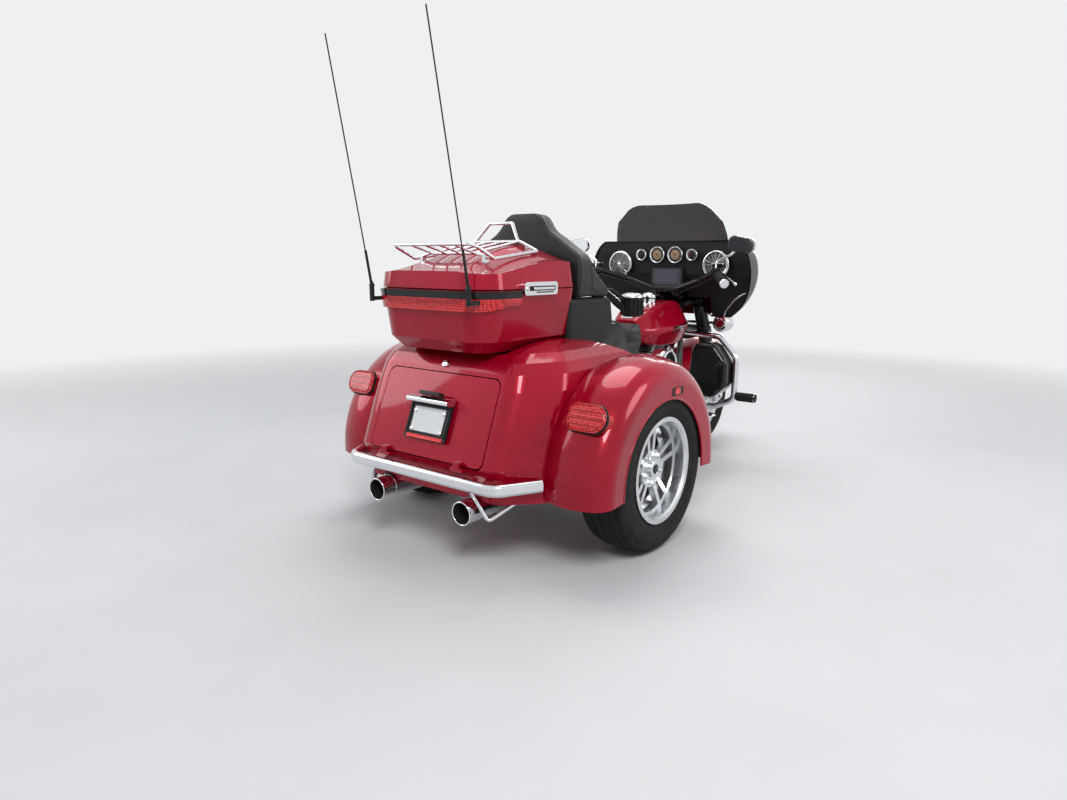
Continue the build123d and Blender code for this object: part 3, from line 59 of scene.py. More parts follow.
def add(tree, kind, inputs=None, **props):
    node = tree.nodes.new("ShaderNode" + kind)
    for key, value in props.items():
        setattr(node, key, value)
    for key, value in (inputs or {}).items():
        socket = node.inputs[key]
        if isinstance(value, bpy.types.NodeSocket):
            tree.links.new(value, socket)
        else:
            socket.default_value = value
    return node


def rgb(colour):
    return tuple(colour[:3]) + (1.0,)


def start(name, colour, metallic=0.0, rough=0.5, **more):
    """A new material with its constants set on the shader's own sockets."""
    made = bpy.data.materials.new(name)
    made.use_nodes = True
    tree = made.node_tree
    shader = tree.nodes["Principled BSDF"]
    shader.inputs["Base Color"].default_value = rgb(colour)
    shader.inputs["Metallic"].default_value = metallic
    shader.inputs["Roughness"].default_value = rough
    for key, value in more.items():
        shader.inputs[key.replace("_", " ")].default_value = value
    return made, tree, shader


def coords(tree):
    return add(tree, "TexCoord").outputs["Object"]


def noise(tree, vector, scale, detail=2.0, rough=0.5):
    made = add(tree, "TexNoise", {"Vector": vector, "Scale": scale, "Detail": detail, "Roughness": rough})
    return made.outputs["Fac"]


def remap(tree, value, low, high, to_low, to_high):
    made = add(
        tree, "MapRange",
        {"Value": value, "From Min": low, "From Max": high, "To Min": to_low, "To Max": to_high}
    )
    return made.outputs["Result"]


def spread(tree, value, low, high):
    """The middle of a noise, stretched over a range."""
    return remap(tree, value, 0.3, 0.7, low, high)


def mix(tree, fac, first, second):
    made = add(tree, "Mix", data_type="RGBA")
    for index, value in ((0, fac), (6, first), (7, second)):
        if isinstance(value, bpy.types.NodeSocket):
            tree.links.new(value, made.inputs[index])
        else:
            made.inputs[index].default_value = value if index == 0 else rgb(value)
    return made.outputs[2]


def maths(tree, operation, first, second=0.0):
    made = add(tree, "Math", {0: first, 1: second}, operation=operation)
    return made.outputs[0]


def bump(tree, shader, height, strength, distance):
    made = add(tree, "Bump", {"Height": height, "Strength": strength, "Distance": distance})
    tree.links.new(made.outputs["Normal"], shader.inputs["Normal"])


def above(tree, axis, level, soft=0.0004):
    """One where the object's own coordinate is over the level, zero below it."""
    parts = add(tree, "SeparateXYZ", {0: coords(tree)})
    return remap(tree, parts.outputs[axis], level - soft, level + soft, 0.0, 1.0)


def axle_distance(tree, where, centre):
    """How far a point is from a wheel's axle."""
    local = add(tree, "VectorMath", {0: where, 1: tuple(centre)}, operation="SUBTRACT").outputs[0]
    parts = add(tree, "SeparateXYZ", {0: local})
    flat = add(tree, "CombineXYZ", {1: parts.outputs[1], 2: parts.outputs[2]}).outputs[0]
    return add(tree, "VectorMath", {0: flat}, operation="LENGTH").outputs["Value"]


def set_tone(tree, shader, colour, rough=None):
    """Links the base colour and, where given, the roughness."""
    tree.links.new(colour, shader.inputs["Base Color"])
    if rough is not None:
        tree.links.new(rough, shader.inputs["Roughness"])


# Materials


def paint(name, colour, deep, flake=0.35):
    made, tree, shader = start(
        name, colour, flake, 0.3, Coat_Weight=0.9, Coat_Roughness=0.04, Coat_IOR=1.35, Specular_IOR_Level=0.08
    )
    where = coords(tree)
    broad = noise(tree, where, 2.6, 3.0)
    fleck = noise(tree, where, 900.0, 1.0)
    tone = mix(tree, remap(tree, broad, 0.35, 0.65, 0.0, 1.0), deep, colour)
    tone = mix(tree, remap(tree, fleck, 0.55, 0.8, 0.0, 0.12), tone, [min(1, 1.9 * c) for c in colour])
    set_tone(tree, shader, tone)
    haze = noise(tree, where, 35.0, 4.0)
    tree.links.new(spread(tree, haze, 0.22, 0.34), shader.inputs["Roughness"])
    bump(tree, shader, noise(tree, where, 260.0, 2.0), 0.03, 0.0002)
    return made


def polished(name, colour, low, high, scale=60.0, ripple=0.02):
    made, tree, shader = start(name, colour, 1.0, low)
    where = coords(tree)
    smear = noise(tree, where, scale, 5.0, 0.6)
    tree.links.new(remap(tree, smear, 0.3, 0.75, low, high), shader.inputs["Roughness"])
    dim = mix(
        tree, remap(tree, noise(tree, where, 9.0, 3.0), 0.4, 0.75, 0.0, 0.25), colour,
        [0.8 * c for c in colour]
    )
    set_tone(tree, shader, dim)
    bump(tree, shader, noise(tree, where, 30.0, 2.0), ripple, 0.002)
    return made


def cast(name, colour, worn, metallic, rough):
    """Cast or painted metal: a fine pebble and brighter edges."""
    made, tree, shader = start(name, colour, metallic, rough)
    where = coords(tree)
    edge = add(tree, "NewGeometry").outputs["Pointiness"]
    patch = noise(tree, where, 40.0, 4.0)
    amount = maths(
        tree, "MULTIPLY", remap(tree, edge, 0.52, 0.6, 0.0, 1.0), remap(tree, patch, 0.35, 0.6, 0.2, 1.0)
    )
    set_tone(
        tree, shader, mix(tree, amount, colour, worn),
        spread(tree, patch, rough - 0.08, rough + 0.1)
    )
    bump(tree, shader, noise(tree, where, 520.0, 3.0), 0.18, 0.0006)
    return made


def moulded(name, colour, rough=0.5, grain=1100.0, depth=0.25, **more):
    """Moulded plastic or rubber with a fine grain and slight fading."""
    made, tree, shader = start(name, colour, 0.0, rough, Specular_IOR_Level=0.22, **more)
    where = coords(tree)
    fade = noise(tree, where, 6.0, 4.0)
    pale = [0.8 * c + 0.009 for c in colour]
    set_tone(
        tree, shader, mix(tree, remap(tree, fade, 0.4, 0.8, 0.0, 0.6), colour, pale),
        spread(tree, fade, rough - 0.07, rough + 0.07)
    )
    bump(tree, shader, noise(tree, where, grain, 2.0), depth, 0.0004)
    return made


def vinyl(name, colour):
    made, tree, shader = start(
        name, colour, 0.0, 0.5, Sheen_Weight=0.05, Sheen_Roughness=0.5, Specular_IOR_Level=0.3
    )
    where = coords(tree)
    grain = add(
        tree, "TexVoronoi", {"Vector": where, "Scale": 420.0, "Randomness": 0.9}, feature="DISTANCE_TO_EDGE"
    )
    pores = remap(tree, grain.outputs["Distance"], 0.0, 0.16, 0.0, 1.0)
    broad = noise(tree, where, 7.0, 4.0)
    tone = mix(tree, remap(tree, broad, 0.35, 0.75, 0.0, 1.0), colour, [1.4 * c + 0.003 for c in colour])
    tone = mix(tree, remap(tree, pores, 0.0, 1.0, 0.35, 0.0), tone, [0.4 * c for c in colour])
    set_tone(tree, shader, tone, spread(tree, broad, 0.34, 0.46))
    bump(tree, shader, maths(tree, "ADD", pores, noise(tree, where, 60.0, 3.0)), 0.32, 0.0007)
    return made


def tyre_rubber(name, centre):
    """Tyre rubber: fine rings on the side walls, and dust in the tread."""
    made, tree, shader = start(name, (0.02, 0.02, 0.02), 0.0, 0.8, Specular_IOR_Level=0.2)
    where = coords(tree)
    radius = axle_distance(tree, where, centre)
    rings = maths(tree, "SINE", maths(tree, "MULTIPLY", radius, 2400.0))
    dust = noise(tree, where, 22.0, 5.0, 0.65)
    tone = mix(tree, remap(tree, dust, 0.45, 0.75, 0.0, 0.8), (0.012, 0.012, 0.0125), (0.035, 0.033, 0.03))
    set_tone(tree, shader, tone, spread(tree, dust, 0.7, 0.9))
    height = maths(tree, "ADD", maths(tree, "MULTIPLY", rings, 0.35), noise(tree, where, 700.0, 2.0))
    bump(tree, shader, height, 0.25, 0.0005)
    return made


def spun(name, colour, centre, low=0.24, high=0.38):
    """Machined alloy with fine turning marks round the wheel's axle."""
    made, tree, shader = start(name, colour, 1.0, low)
    where = coords(tree)
    radius = axle_distance(tree, where, centre)
    marks = maths(tree, "SINE", maths(tree, "MULTIPLY", radius, 6000.0))
    grey = noise(tree, where, 18.0, 4.0)
    set_tone(
        tree, shader, mix(tree, remap(tree, grey, 0.4, 0.75, 0.0, 0.5), colour, [0.66 * c for c in colour]),
        spread(tree, grey, low, high)
    )
    bump(tree, shader, marks, 0.03, 0.0002)
    return made


def lens(name, colour, prism_shade, cell, clear=0.25):
    """Coloured lens with small prisms on its inside, each prism painted lighter at its centre as a painted
    glint and darker towards its edges as painted shade.
    """
    made, tree, shader = start(
        name, colour, 0.0, 0.12, Coat_Weight=0.5, Coat_Roughness=0.03, Transmission_Weight=clear,
        Specular_IOR_Level=0.25
    )
    where = coords(tree)
    cells = add(tree, "TexVoronoi", {"Vector": where, "Scale": 1.0 / cell, "Randomness": 0.25}, feature="F1")
    # glow is the painted light: zero at each prism's centre, under the painted glint, and one at its edges,
    # under the painted shade.
    glow = remap(tree, cells.outputs["Distance"], 0.1, 0.62, 0.0, 1.0)
    set_tone(tree, shader, mix(tree, glow, [min(1, 1.5 * c + 0.05) for c in colour], prism_shade))
    bump(tree, shader, cells.outputs["Distance"], 0.5, 0.003)
    return made


def smoked(name, colour):
    made, tree, shader = start(name, colour, 0.0, 0.03, Transmission_Weight=1.0, IOR=1.45)
    where = coords(tree)
    tree.links.new(
        remap(tree, noise(tree, where, 14.0, 5.0), 0.4, 0.8, 0.015, 0.07), shader.inputs["Roughness"]
    )
    return made


def split(name, axis, level, low, high):
    """Two finishes on one solid, one each side of a level."""
    made = bpy.data.materials.new(name)
    made.use_nodes = True
    tree = made.node_tree
    tree.nodes.remove(tree.nodes["Principled BSDF"])
    out = tree.nodes["Material Output"]
    ends = []
    for source in (low, high):
        copy = {}
        for node in source.node_tree.nodes:
            if node.bl_idname == "ShaderNodeOutputMaterial":
                continue
            twin = tree.nodes.new(node.bl_idname)
            for prop in ("operation", "data_type", "feature"):
                if hasattr(node, prop):
                    setattr(twin, prop, getattr(node, prop))
            for old, new in zip(node.inputs, twin.inputs):
                if hasattr(old, "default_value"):
                    new.default_value = old.default_value
            copy[node] = twin
        for link in source.node_tree.links:
            if link.to_node in copy:
                first = list(link.from_node.outputs).index(link.from_socket)
                second = list(link.to_node.inputs).index(link.to_socket)
                tree.links.new(copy[link.from_node].outputs[first], copy[link.to_node].inputs[second])
            else:
                ends.append(copy[link.from_node].outputs["BSDF"])
    blend = add(tree, "MixShader", {0: above(tree, axis, level), 1: ends[0], 2: ends[1]})
    tree.links.new(blend.outputs[0], out.inputs["Surface"])
    return made


RED = (0.36, 0.0, 0.018)
RED_DEEP = (0.28, 0.0, 0.011)
WHEEL_CENTRES = {
    "front": P(*FRONT_AXLE),
    "rear_left": P(-575, 0, REAR_AXLE_Z),
    "rear_right": P(575, 0, REAR_AXLE_Z),
}
CLEAR_COAT = {"Coat_Weight": 1.0, "Coat_Roughness": 0.02}
M = {
    "red": paint("paint_red", RED, RED_DEEP, 0.2),
    "black": paint("paint_black", (0.009, 0.009, 0.01), (0.006, 0.006, 0.007), 0.0),
    "frame": cast("frame_black", (0.014, 0.014, 0.015), (0.06, 0.058, 0.055), 0.2, 0.4),
    "plastic": moulded("plastic_black", (0.01, 0.01, 0.011), 0.48),
    "rubber": moulded("rubber_black", (0.012, 0.012, 0.012), 0.72, 600.0, 0.35),
    "chrome": polished("chrome_plate", (0.74, 0.75, 0.77), 0.05, 0.14),
    "steel": polished("steel_plain", (0.5, 0.5, 0.51), 0.22, 0.4, 120.0, 0.05),
    "engine": cast("engine_alloy", (0.075, 0.075, 0.078), (0.42, 0.42, 0.43), 0.75, 0.45),
    "vinyl": vinyl("vinyl_black", (0.009, 0.01, 0.0125)),
    "smoked": smoked("screen_smoked", (0.07, 0.07, 0.074)),
    # Each lens's second colour is the painted shade between its prisms.
    "red_lens": lens("lens_red", (0.72, 0.0, 0.006), (0.3, 0.0, 0.002), 0.009, 0.0),
    "reflector": lens("reflector_red", (0.95, 0.012, 0.008), (0.6, 0.0, 0.0), 0.006, 0.0),
    "mirror": polished("mirror_glass", (0.9, 0.91, 0.92), 0.01, 0.03, 20.0, 0.0),
    # Near-black finish: soot inside the exhaust tips, the speaker cones' own black, and painted shade in the
    # key slot, the latch's recess and slot, and the brake discs' holes.
    "black_soot_and_painted_shade": moulded("soot_and_painted_shade_black", (0.012, 0.011, 0.01), 0.85, 300.0, 0.5),
    "plate": moulded("plate_white", (0.72, 0.73, 0.74), 0.4, 900.0, 0.08),
    "welt": moulded("welt_vinyl", (0.022, 0.022, 0.024), 0.42, 700.0, 0.2),
    "thread": moulded("thread_grey", (0.06, 0.06, 0.062), 0.8, 2400.0, 0.6),
    "dial": moulded("dial_black", (0.008, 0.008, 0.009), 0.35, 900.0, 0.1),
    "dial_pale": moulded("dial_pale", (0.3, 0.22, 0.13), 0.4, 600.0, 0.1),
    "white": moulded("mark_white", (0.75, 0.75, 0.74), 0.5, 900.0, 0.1),
    "needle": moulded("needle_red", (0.6, 0.03, 0.01), 0.45, 900.0, 0.1),
    "display": moulded("display_blue", (0.03, 0.032, 0.06), 0.2, 900.0, 0.0, **CLEAR_COAT),
    "lamp_glass": lens("lens_lamp", (0.42, 0.43, 0.45), (0.12, 0.122, 0.126), 0.016, 0.0),
    "liner": moulded("liner_black", (0.012, 0.012, 0.012), 0.8, 500.0, 0.4),
    "glass_black": moulded("display_glass", (0.006, 0.006, 0.008), 0.08, 200.0, 0.0, **CLEAR_COAT),
}
for place, centre in WHEEL_CENTRES.items():
    M["tyre_" + place] = tyre_rubber("tyre_" + place, centre)
    M["rim_" + place] = spun("rim_" + place, (0.72, 0.73, 0.75), centre)
M["plate_bracket"] = split("bracket_split", 2, 0.586, M["plastic"], M["chrome"])
M["lamp_bar"] = split("lamp_bar_split", 2, 0.976, M["red_lens"], M["black"])
M["barrels"] = split("barrels_split", 2, 0.668, M["engine"], M["chrome"])
M["fork"] = split("fork_split", 2, 0.615, M["chrome"], M["black"])
M["housing"] = M["black"]
M["fairing"] = split("fairing_split", 1, 0.76, M["black"], M["red"])

FINISHES = {
    "red": "fender_left fender_right trunk_body trunk_door top_case_base top_case_lid fuel_tank side_covers "
    "front_fender",
    "chrome": "rear_bumper luggage_rack case_latch primary_cover air_cleaner exhaust_pipes tank_console "
    "engine_guard front_lamps mirrors",
    "plastic": "speaker_pods whips drink_holder fairing_dash",
    "frame": "rear_axle frame_backbone frame_cradle",
    "vinyl": "seat backrest",
    "black": "lower_fairings handlebar",
    "rubber": "foot_rests",
    "red_lens": "tail_lamps",
    "engine": "engine_cases",
    "barrels": "cylinders",
    "plate_bracket": "plate_bracket",
    "lamp_bar": "case_lamp_bar",
    "fork": "fork",
    "fairing": "fairing_outer",
    "smoked": "windshield",
}
for place in ("front", "rear_left", "rear_right"):
    end, _, side = place.partition("_")
    for part in ("tyre", "rim"):
        FINISHES[f"{part}_{place}"] = f"{end}_{part}_{side}".rstrip("_")
for finish, nodes in FINISHES.items():
    for node in nodes.split():
        shown = NODES[node]
        if shown.material_slots:
            shown.material_slots[0].material = M[finish]
        else:
            shown.data.materials.append(M[finish])

# Mesh helpers. A maker gives one object that rides on a body.


def mesh_of(name, points, faces):
    mesh = bpy.data.meshes.new(name)
    mesh.from_pydata([tuple(p) for p in points], [], faces)
    mesh.validate()
    return mesh


def piece(name, data, material, body="chassis", smooth_deg=40):
    mesh = mesh_of(name, *data)
    mesh.polygons.foreach_set("use_smooth", [True] * len(mesh.polygons))
    mesh.set_sharp_from_angle(angle=radians(smooth_deg))
    made = bpy.data.objects.new(name, mesh)
    bpy.context.scene.collection.objects.link(made)
    made.data.materials.append(M[material])
    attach(made, body)
    return made


def smooth_line(points, steps=8):
    """Points along a curve that passes through the given points."""
    if len(points) == 2:
        return [Vector(p) for p in points]
    rows = [Vector(p) for p in points]
    rows = [2 * rows[0] - rows[1]] + rows + [2 * rows[-1] - rows[-2]]
    line = []
    for a, b, c, d in zip(rows, rows[1:], rows[2:], rows[3:]):
        for step in range(steps):
            t = step / steps
            line.append(
                0.5 * (
                    2 * b + (c - a) * t + (
                        2 * a - 5 * b + 4 * c - d
                    ) * t * t + (3 * b - a - 3 * c + d) * t ** 3
                )
            )
    line.append(rows[-2])
    return line


def skin(rings, count, loop=False, whole=True, back=False):
    """Faces between rings of points.

    loop joins the last ring to the first, whole closes each ring, back turns the faces over.
    """
    faces = []
    for k in range(rings if loop else rings - 1):
        low = k * count
        high = (k + 1) % rings * count
        for i in range(count if whole else count - 1):
            j = (i + 1) % count
            if back:
                faces.append((low + i, high + i, high + j, low + j))
            else:
                faces.append((low + i, low + j, high + j, high + i))
    return faces


def tube_data(line, radius, sides=10, closed=False):
    """Rings along a line, with the frame carried from one ring to the next."""
    count = len(line)
    points = []
    side = None
    for index, place in enumerate(line):
        ahead = line[(index + 1) % count] if closed or index + 1 < count else place
        behind = line[index - 1] if closed or index else place
        way = (ahead - behind).normalized()
        if side is None:
            side = way.orthogonal().normalized()
        side = (side - way * side.dot(way)).normalized()
        other = way.cross(side)
        for k in range(sides):
            angle = 2 * pi * k / sides
            points.append(place + radius * (side * cos(angle) + other * sin(angle)))
    faces = skin(count, sides, loop=closed)
    if not closed:
        faces.append(tuple(reversed(range(sides))))
        faces.append(tuple(range((count - 1) * sides, count * sides)))
    return points, faces


def tube(name, points, radius, material, body="chassis", sides=10, steps=8, closed=False):
    line = smooth_line([P(*p) for p in points], steps)
    return piece(name, tube_data(line, radius / 1000, sides, closed), material, body)


def merged(name, sets, material, body="chassis", smooth_deg=40):
    """Several (points, faces) sets as one object."""
    points, faces = [], []
    for some, loops in sets:
        base = len(points)
        points += list(some)
        faces += [tuple(base + i for i in loop) for loop in loops]
    return piece(name, (points, faces), material, body, smooth_deg)


def turn_data(profile, centre, axis, segments=48, closed=False):
    """A (radius, height) profile turned round an axis; points in millimetres."""
    axis = Vector(axis).normalized()
    side = axis.orthogonal().normalized()
    if abs(axis.x) > 0.9:
        side = Vector(Y)
    side = (side - axis * side.dot(axis)).normalized()
    other = axis.cross(side)
    origin = P(*centre)
    points = []
    for k in range(segments):
        angle = 2 * pi * k / segments
        out = side * cos(angle) + other * sin(angle)
        for radius, height in profile:
            points.append(origin + out * (radius / 1000) + axis * (height / 1000))
    rows = len(profile)
    faces = skin(segments, rows, loop=True, whole=closed, back=True)
    if not closed:
        if profile[0][0] > 0:
            faces.append(tuple(reversed([k * rows for k in range(segments)])))
        if profile[-1][0] > 0:
            faces.append(tuple(k * rows + rows - 1 for k in range(segments)))
    return points, faces


def turned(name, profile, centre, axis, material, body="chassis", segments=48, smooth_deg=40):
    return piece(name, turn_data(profile, centre, axis, segments), material, body, smooth_deg)


def turned_closed(name, profile, centre, axis, segments, material, body="chassis"):
    """A profile that comes back to its first point."""
    return piece(name, turn_data(profile, centre, axis, segments, closed=True), material, body)


def ring_data(radius, thick, centre, axis, segments=48, sides=10):
    """A torus of mean radius and tube radius, in millimetres."""
    profile = [
        (radius + thick * cos(2 * pi * k / sides), thick * sin(2 * pi * k / sides))
        for k in range(sides)
    ]
    return turn_data(profile, centre, axis, segments, closed=True)


def bolt_data(centre, axis, radius=6, high=5, sides=6):
    """A bolt head with a washer and a chamfered top."""
    head = turn_data(
        [(0, 0.2), (radius, 0.2), (radius, high * 0.8), (radius * 0.86, high), (0, high)], centre, axis, sides
    )
    washer = turn_data([(radius * 1.35, -0.4), (radius * 1.35, 1.0), (radius * 0.6, 1.3)], centre, axis, 20)
    return [head, washer]


def slab_data(outline, thick, origin, x_dir, y_dir, bevel=1.0):
    """A bevelled plate from a flat outline in millimetres, raised off its plane."""
    x_dir = Vector(x_dir).normalized()
    y_dir = Vector(y_dir).normalized()
    up = x_dir.cross(y_dir)
    base = P(*origin)
    middle = Vector((sum(p[0] for p in outline) / len(outline), sum(p[1] for p in outline) / len(outline)))
    points = []
    for shrink, height in ((0, 0), (0, thick - bevel), (bevel, thick)):
        for x, y in outline:
            way = Vector((x, y)) - middle
            length = way.length or 1
            flat = middle + way * max(0.0, (length - shrink) / length)
            points.append(base + (x_dir * flat.x + y_dir * flat.y + up * height) / 1000)
    count = len(outline)
    faces = skin(3, count)
    faces.append(tuple(range(2 * count, 3 * count)))
    faces.append(tuple(reversed(range(count))))
    return points, faces


def round_box(half_x, half_y, corner, steps=6):
    """A rounded rectangle as a flat outline, with one corner radius or four."""
    cuts = corner if isinstance(corner, list) else [corner] * 4
    outline = []
    for quarter, (sx, sy) in enumerate(((1, 1), (-1, 1), (-1, -1), (1, -1))):
        cut = cuts[quarter]
        for step in range(steps + 1):
            angle = radians(90 * quarter + 90 * step / steps)
            outline.append((sx * (half_x - cut) + cut * cos(angle), sy * (half_y - cut) + cut * sin(angle)))
    return outline


# Camera, light and stage


def camera():
    yaw, pitch, roll = -0.662315, -0.187161, 0.006219
    view = Vector((sin(yaw) * cos(pitch), cos(yaw) * cos(pitch), sin(pitch)))
    right = Vector((cos(yaw), -sin(yaw), 0))
    up = right.cross(view)
    right_rolled = cos(roll) * right + sin(roll) * up
    up_rolled = -sin(roll) * right + cos(roll) * up
    place = Matrix((right_rolled, up_rolled, -view)).transposed().to_4x4()
    place.translation = P(1950.99, -2452.53, 1109.86)
    data = bpy.data.cameras.new("camera")
    data.sensor_fit = "HORIZONTAL"
    data.sensor_width = 36
    data.lens = 740.43 / 1067 * 36
    data.clip_start = 0.05
    made = bpy.data.objects.new("camera", data)
    made.matrix_world = place
    bpy.context.scene.collection.objects.link(made)
    bpy.context.scene.camera = made


def lamp(name, place, aim, size, watts, colour=(1, 1, 1)):
    data = bpy.data.lights.new(name, "AREA")
    data.shape = "DISK"
    data.size = size
    data.energy = watts
    data.color = colour
    made = bpy.data.objects.new(name, data)
    made.location = place
    made.rotation_euler = (Vector(aim) - Vector(place)).to_track_quat("-Z", "Y").to_euler()
    bpy.context.scene.collection.objects.link(made)


def seen_directly(tree):
    """One for what the camera, a mirror or clear glass sees, zero for light."""
    path = add(tree, "LightPath")
    either = maths(tree, "MAXIMUM", path.outputs["Is Camera Ray"], path.outputs["Is Glossy Ray"])
    return maths(tree, "MAXIMUM", either, path.outputs["Is Transmission Ray"])


def stage():
    """A pale floor that fades into the backdrop, and a soft world light."""
    pale = (0.86, 0.87, 0.885, 1)
    world = bpy.data.worlds.new("world")
    bpy.context.scene.world = world
    world.use_nodes = True
    tree = world.node_tree
    back = tree.nodes["Background"]
    back.inputs["Color"].default_value = (0.62, 0.66, 0.72, 1)
    back.inputs["Strength"].default_value = 0.42
    plain = add(tree, "Background", {"Color": pale, "Strength": 1.0})
    seen = seen_directly(tree)
    both = add(tree, "MixShader", {0: seen, 1: back.outputs[0], 2: plain.outputs[0]})
    tree.links.new(both.outputs[0], tree.nodes["World Output"].inputs["Surface"])
    floor = mesh_of("floor", [(-40, -40, 0), (40, -40, 0), (40, 40, 0), (-40, 40, 0)], [(0, 1, 2, 3)])
    made = bpy.data.objects.new("floor", floor)
    bpy.context.scene.collection.objects.link(made)
    surface, tree, shader = start("floor_grey", (0.6, 0.605, 0.61), 0.0, 0.7)
    where = coords(tree)
    tone = mix(tree, noise(tree, where, 3.0, 4.0), (0.58, 0.585, 0.59), (0.63, 0.635, 0.64))
    set_tone(tree, shader, tone)
    glow = add(tree, "Emission", {"Color": pale, "Strength": 1.0})
    reach = add(tree, "VectorMath", {0: where}, operation="LENGTH").outputs["Value"]
    fade = maths(tree, "MULTIPLY", remap(tree, reach, 2.6, 7.0, 0.0, 1.0), seen_directly(tree))
    both = add(tree, "MixShader", {0: fade, 1: shader.outputs[0], 2: glow.outputs[0]})
    tree.links.new(both.outputs[0], tree.nodes["Material Output"].inputs["Surface"])
    made.data.materials.append(surface)


camera()
stage()
lamp("key", (2.9, -3.8, 4.0), (0.1, -0.3, 0.7), 1.8, 155)
lamp("fill", (-3.8, -2.8, 2.8), (0, -0.4, 0.6), 2.8, 72)
lamp("side", (4.4, 1.2, 2.8), (0.2, 0.3, 0.6), 2.4, 76)
lamp("top", (-0.6, 0.6, 4.6), (0, -0.2, 0.6), 2.8, 82)
lamp("front", (-0.8, 4.6, 2.6), (0, 0.4, 0.6), 2.4, 66)

# Tyres: the same outside as the solids, with tread and side ribs

GROOVE_DEPTH = 6.5
LUG_GAP_DEPTH = 3.2

def tyre(name, node, centre, outer, width, bead, tread_half, drop, grooves, lugs, body, material, outward):
    """Side walls and crown as rows of points, with grooves pressed into the tread."""
    heel = bead + 17
    bead_half = {130: 39.7, 209: 84.7}[width]
    rows = []
    shoulder = outer - drop
    for k in range(15):
        t = k / 14
        r = heel + (shoulder - heel) * t
        swell = 2 * t * (1 - t) * (width - (bead_half + tread_half) / 2)
        x = (1 - t) ** 2 * bead_half + swell + t * t * tread_half
        if k in (4, 11):
            rows += [(x, r - 1.2, 0), (x + 1.3, r - 0.6, 0), (x + 1.3, r + 0.6, 0), (x, r + 1.2, 0)]
        else:
            rows.append((x, r, 0))
    steps = 40
    for k in range(1, steps):
        x = tread_half * (1 - 2 * k / steps)
        share = abs(x) / tread_half
        r = outer - drop * share * share
        flag = 1
        for at, half in grooves:
            if abs(x - at) < half or abs(x + at) < half:
                flag = 2
        rows.append((x, r, flag))
    rows += [(-x, r, flag) for x, r, flag in reversed(rows[: len(rows) - steps + 1])]
    rows = [(bead_half, bead, 0)] + rows + [(-bead_half, bead, 0)]
    segments = lugs * 3
    points = []
    origin = P(*centre)
    for s in range(segments):
        for x, r, flag in rows:
            skew = 1 if x > 0 else -1
            phase = (s + skew * int(abs(x) / 14)) % 3
            lug = flag == 1 and phase == 0 and abs(x) > 0.25 * tread_half
            depth = GROOVE_DEPTH if flag == 2 else LUG_GAP_DEPTH if lug else 0
            angle = 2 * pi * s / segments
            rr = (r - depth) / 1000
            points.append(origin + Vector((x * outward / 1000, rr * cos(angle), rr * sin(angle))))
    faces = skin(segments, len(rows), loop=True, whole=False)
    made = piece(name, (points, faces), material, body, 50)
    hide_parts(node)
    return made


REAR_GROOVES = ((0, 4.2), (38, 4.2), (66, 2.4))
FRONT_GROOVES = ((0, 2.6), (26, 3.0))
for side, place in SIDES:
    tyre(
        f"tyre_rear_{place}", f"rear_tyre_{place}", (side * 575, 0, REAR_AXLE_Z), 323.5, 209, 191, 84, 11,
        REAR_GROOVES, 68, f"rear_wheel_{place}", f"tyre_rear_{place}", side
    )
tyre(
    "tyre_front", "front_tyre", FRONT_AXLE, 320, 130, 203, 50, 17, FRONT_GROOVES, 56, "front_wheel",
    "tyre_front", 1
)

# Shared makers for small pieces


def ring(name, radius, thick, centre, axis, material, body="chassis", segments=48):
    return piece(name, ring_data(radius, thick, centre, axis, segments), material, body)


def bolts(name, places, axis, radius, high, material, body="chassis", sides=6):
    sets = []
    for place in places:
        sets += bolt_data(place, axis, radius, high, sides)
    return merged(name, sets, material, body)


def slab(name, outline, thick, origin, x_dir, y_dir, material, body="chassis", bevel=0.8):
    return piece(name, slab_data(outline, thick, origin, x_dir, y_dir, bevel), material, body, 30)


def edging(name, outline, origin, x_dir, y_dir, radius, material, body="chassis", out=0.0):
    """A bead that follows a flat outline."""
    x_dir = Vector(x_dir).normalized()
    y_dir = Vector(y_dir).normalized()
    up = x_dir.cross(y_dir)
    line = [P(*origin) + (x_dir * x + y_dir * y + up * out) / 1000 for x, y in outline]
    return piece(name, tube_data(line, radius / 1000, 8, closed=True), material, body)


def arc_data(profile, centre, start_deg, end_deg, segments):
    """A closed (x, radius) profile swept round a centre in the YZ plane."""
    points = []
    rows = len(profile)
    for k in range(segments + 1):
        angle = radians(start_deg + (end_deg - start_deg) * k / segments)
        for x, radius in profile:
            points.append(P(x, centre[0] + radius * cos(angle), centre[1] + radius * sin(angle)))
    faces = skin(segments + 1, rows, back=True)
    faces.append(tuple(reversed(range(rows))))
    faces.append(tuple(range(segments * rows, (segments + 1) * rows)))
    return points, faces


# Cushions: the solids' meshes, remeshed, blown up as cloth and sewn


def applied(made):
    """The object's mesh, with its modifiers made real."""
    graph = bpy.context.evaluated_depsgraph_get()
    fresh = bpy.data.meshes.new_from_object(made.evaluated_get(graph))
    made.modifiers.clear()
    made.data = fresh
    return fresh


def soft_base(name, node, shrink, voxel, rounds):
    """A remeshed copy of a soft solid, a little smaller and with rounded edges."""
    mesh = NODES[node].data.copy()
    work = bmesh.new()
    work.from_mesh(mesh)
    bmesh.ops.remove_doubles(work, verts=work.verts, dist=1e-5)
    work.normal_update()
    for vert in work.verts:
        vert.co -= vert.normal * shrink
    work.to_mesh(mesh)
    work.free()
    mesh.materials.clear()
    made = bpy.data.objects.new(name, mesh)
    bpy.context.scene.collection.objects.link(made)
    again = made.modifiers.new("remesh", "REMESH")
    again.mode = "VOXEL"
    again.voxel_size = voxel
    fresh = applied(made)
    work = bmesh.new()
    work.from_mesh(fresh)
    for _ in range(rounds):
        bmesh.ops.smooth_vert(
            work, verts=work.verts, factor=0.5, use_axis_x=True, use_axis_y=True, use_axis_z=True
        )
    work.to_mesh(fresh)
    work.free()
    return made


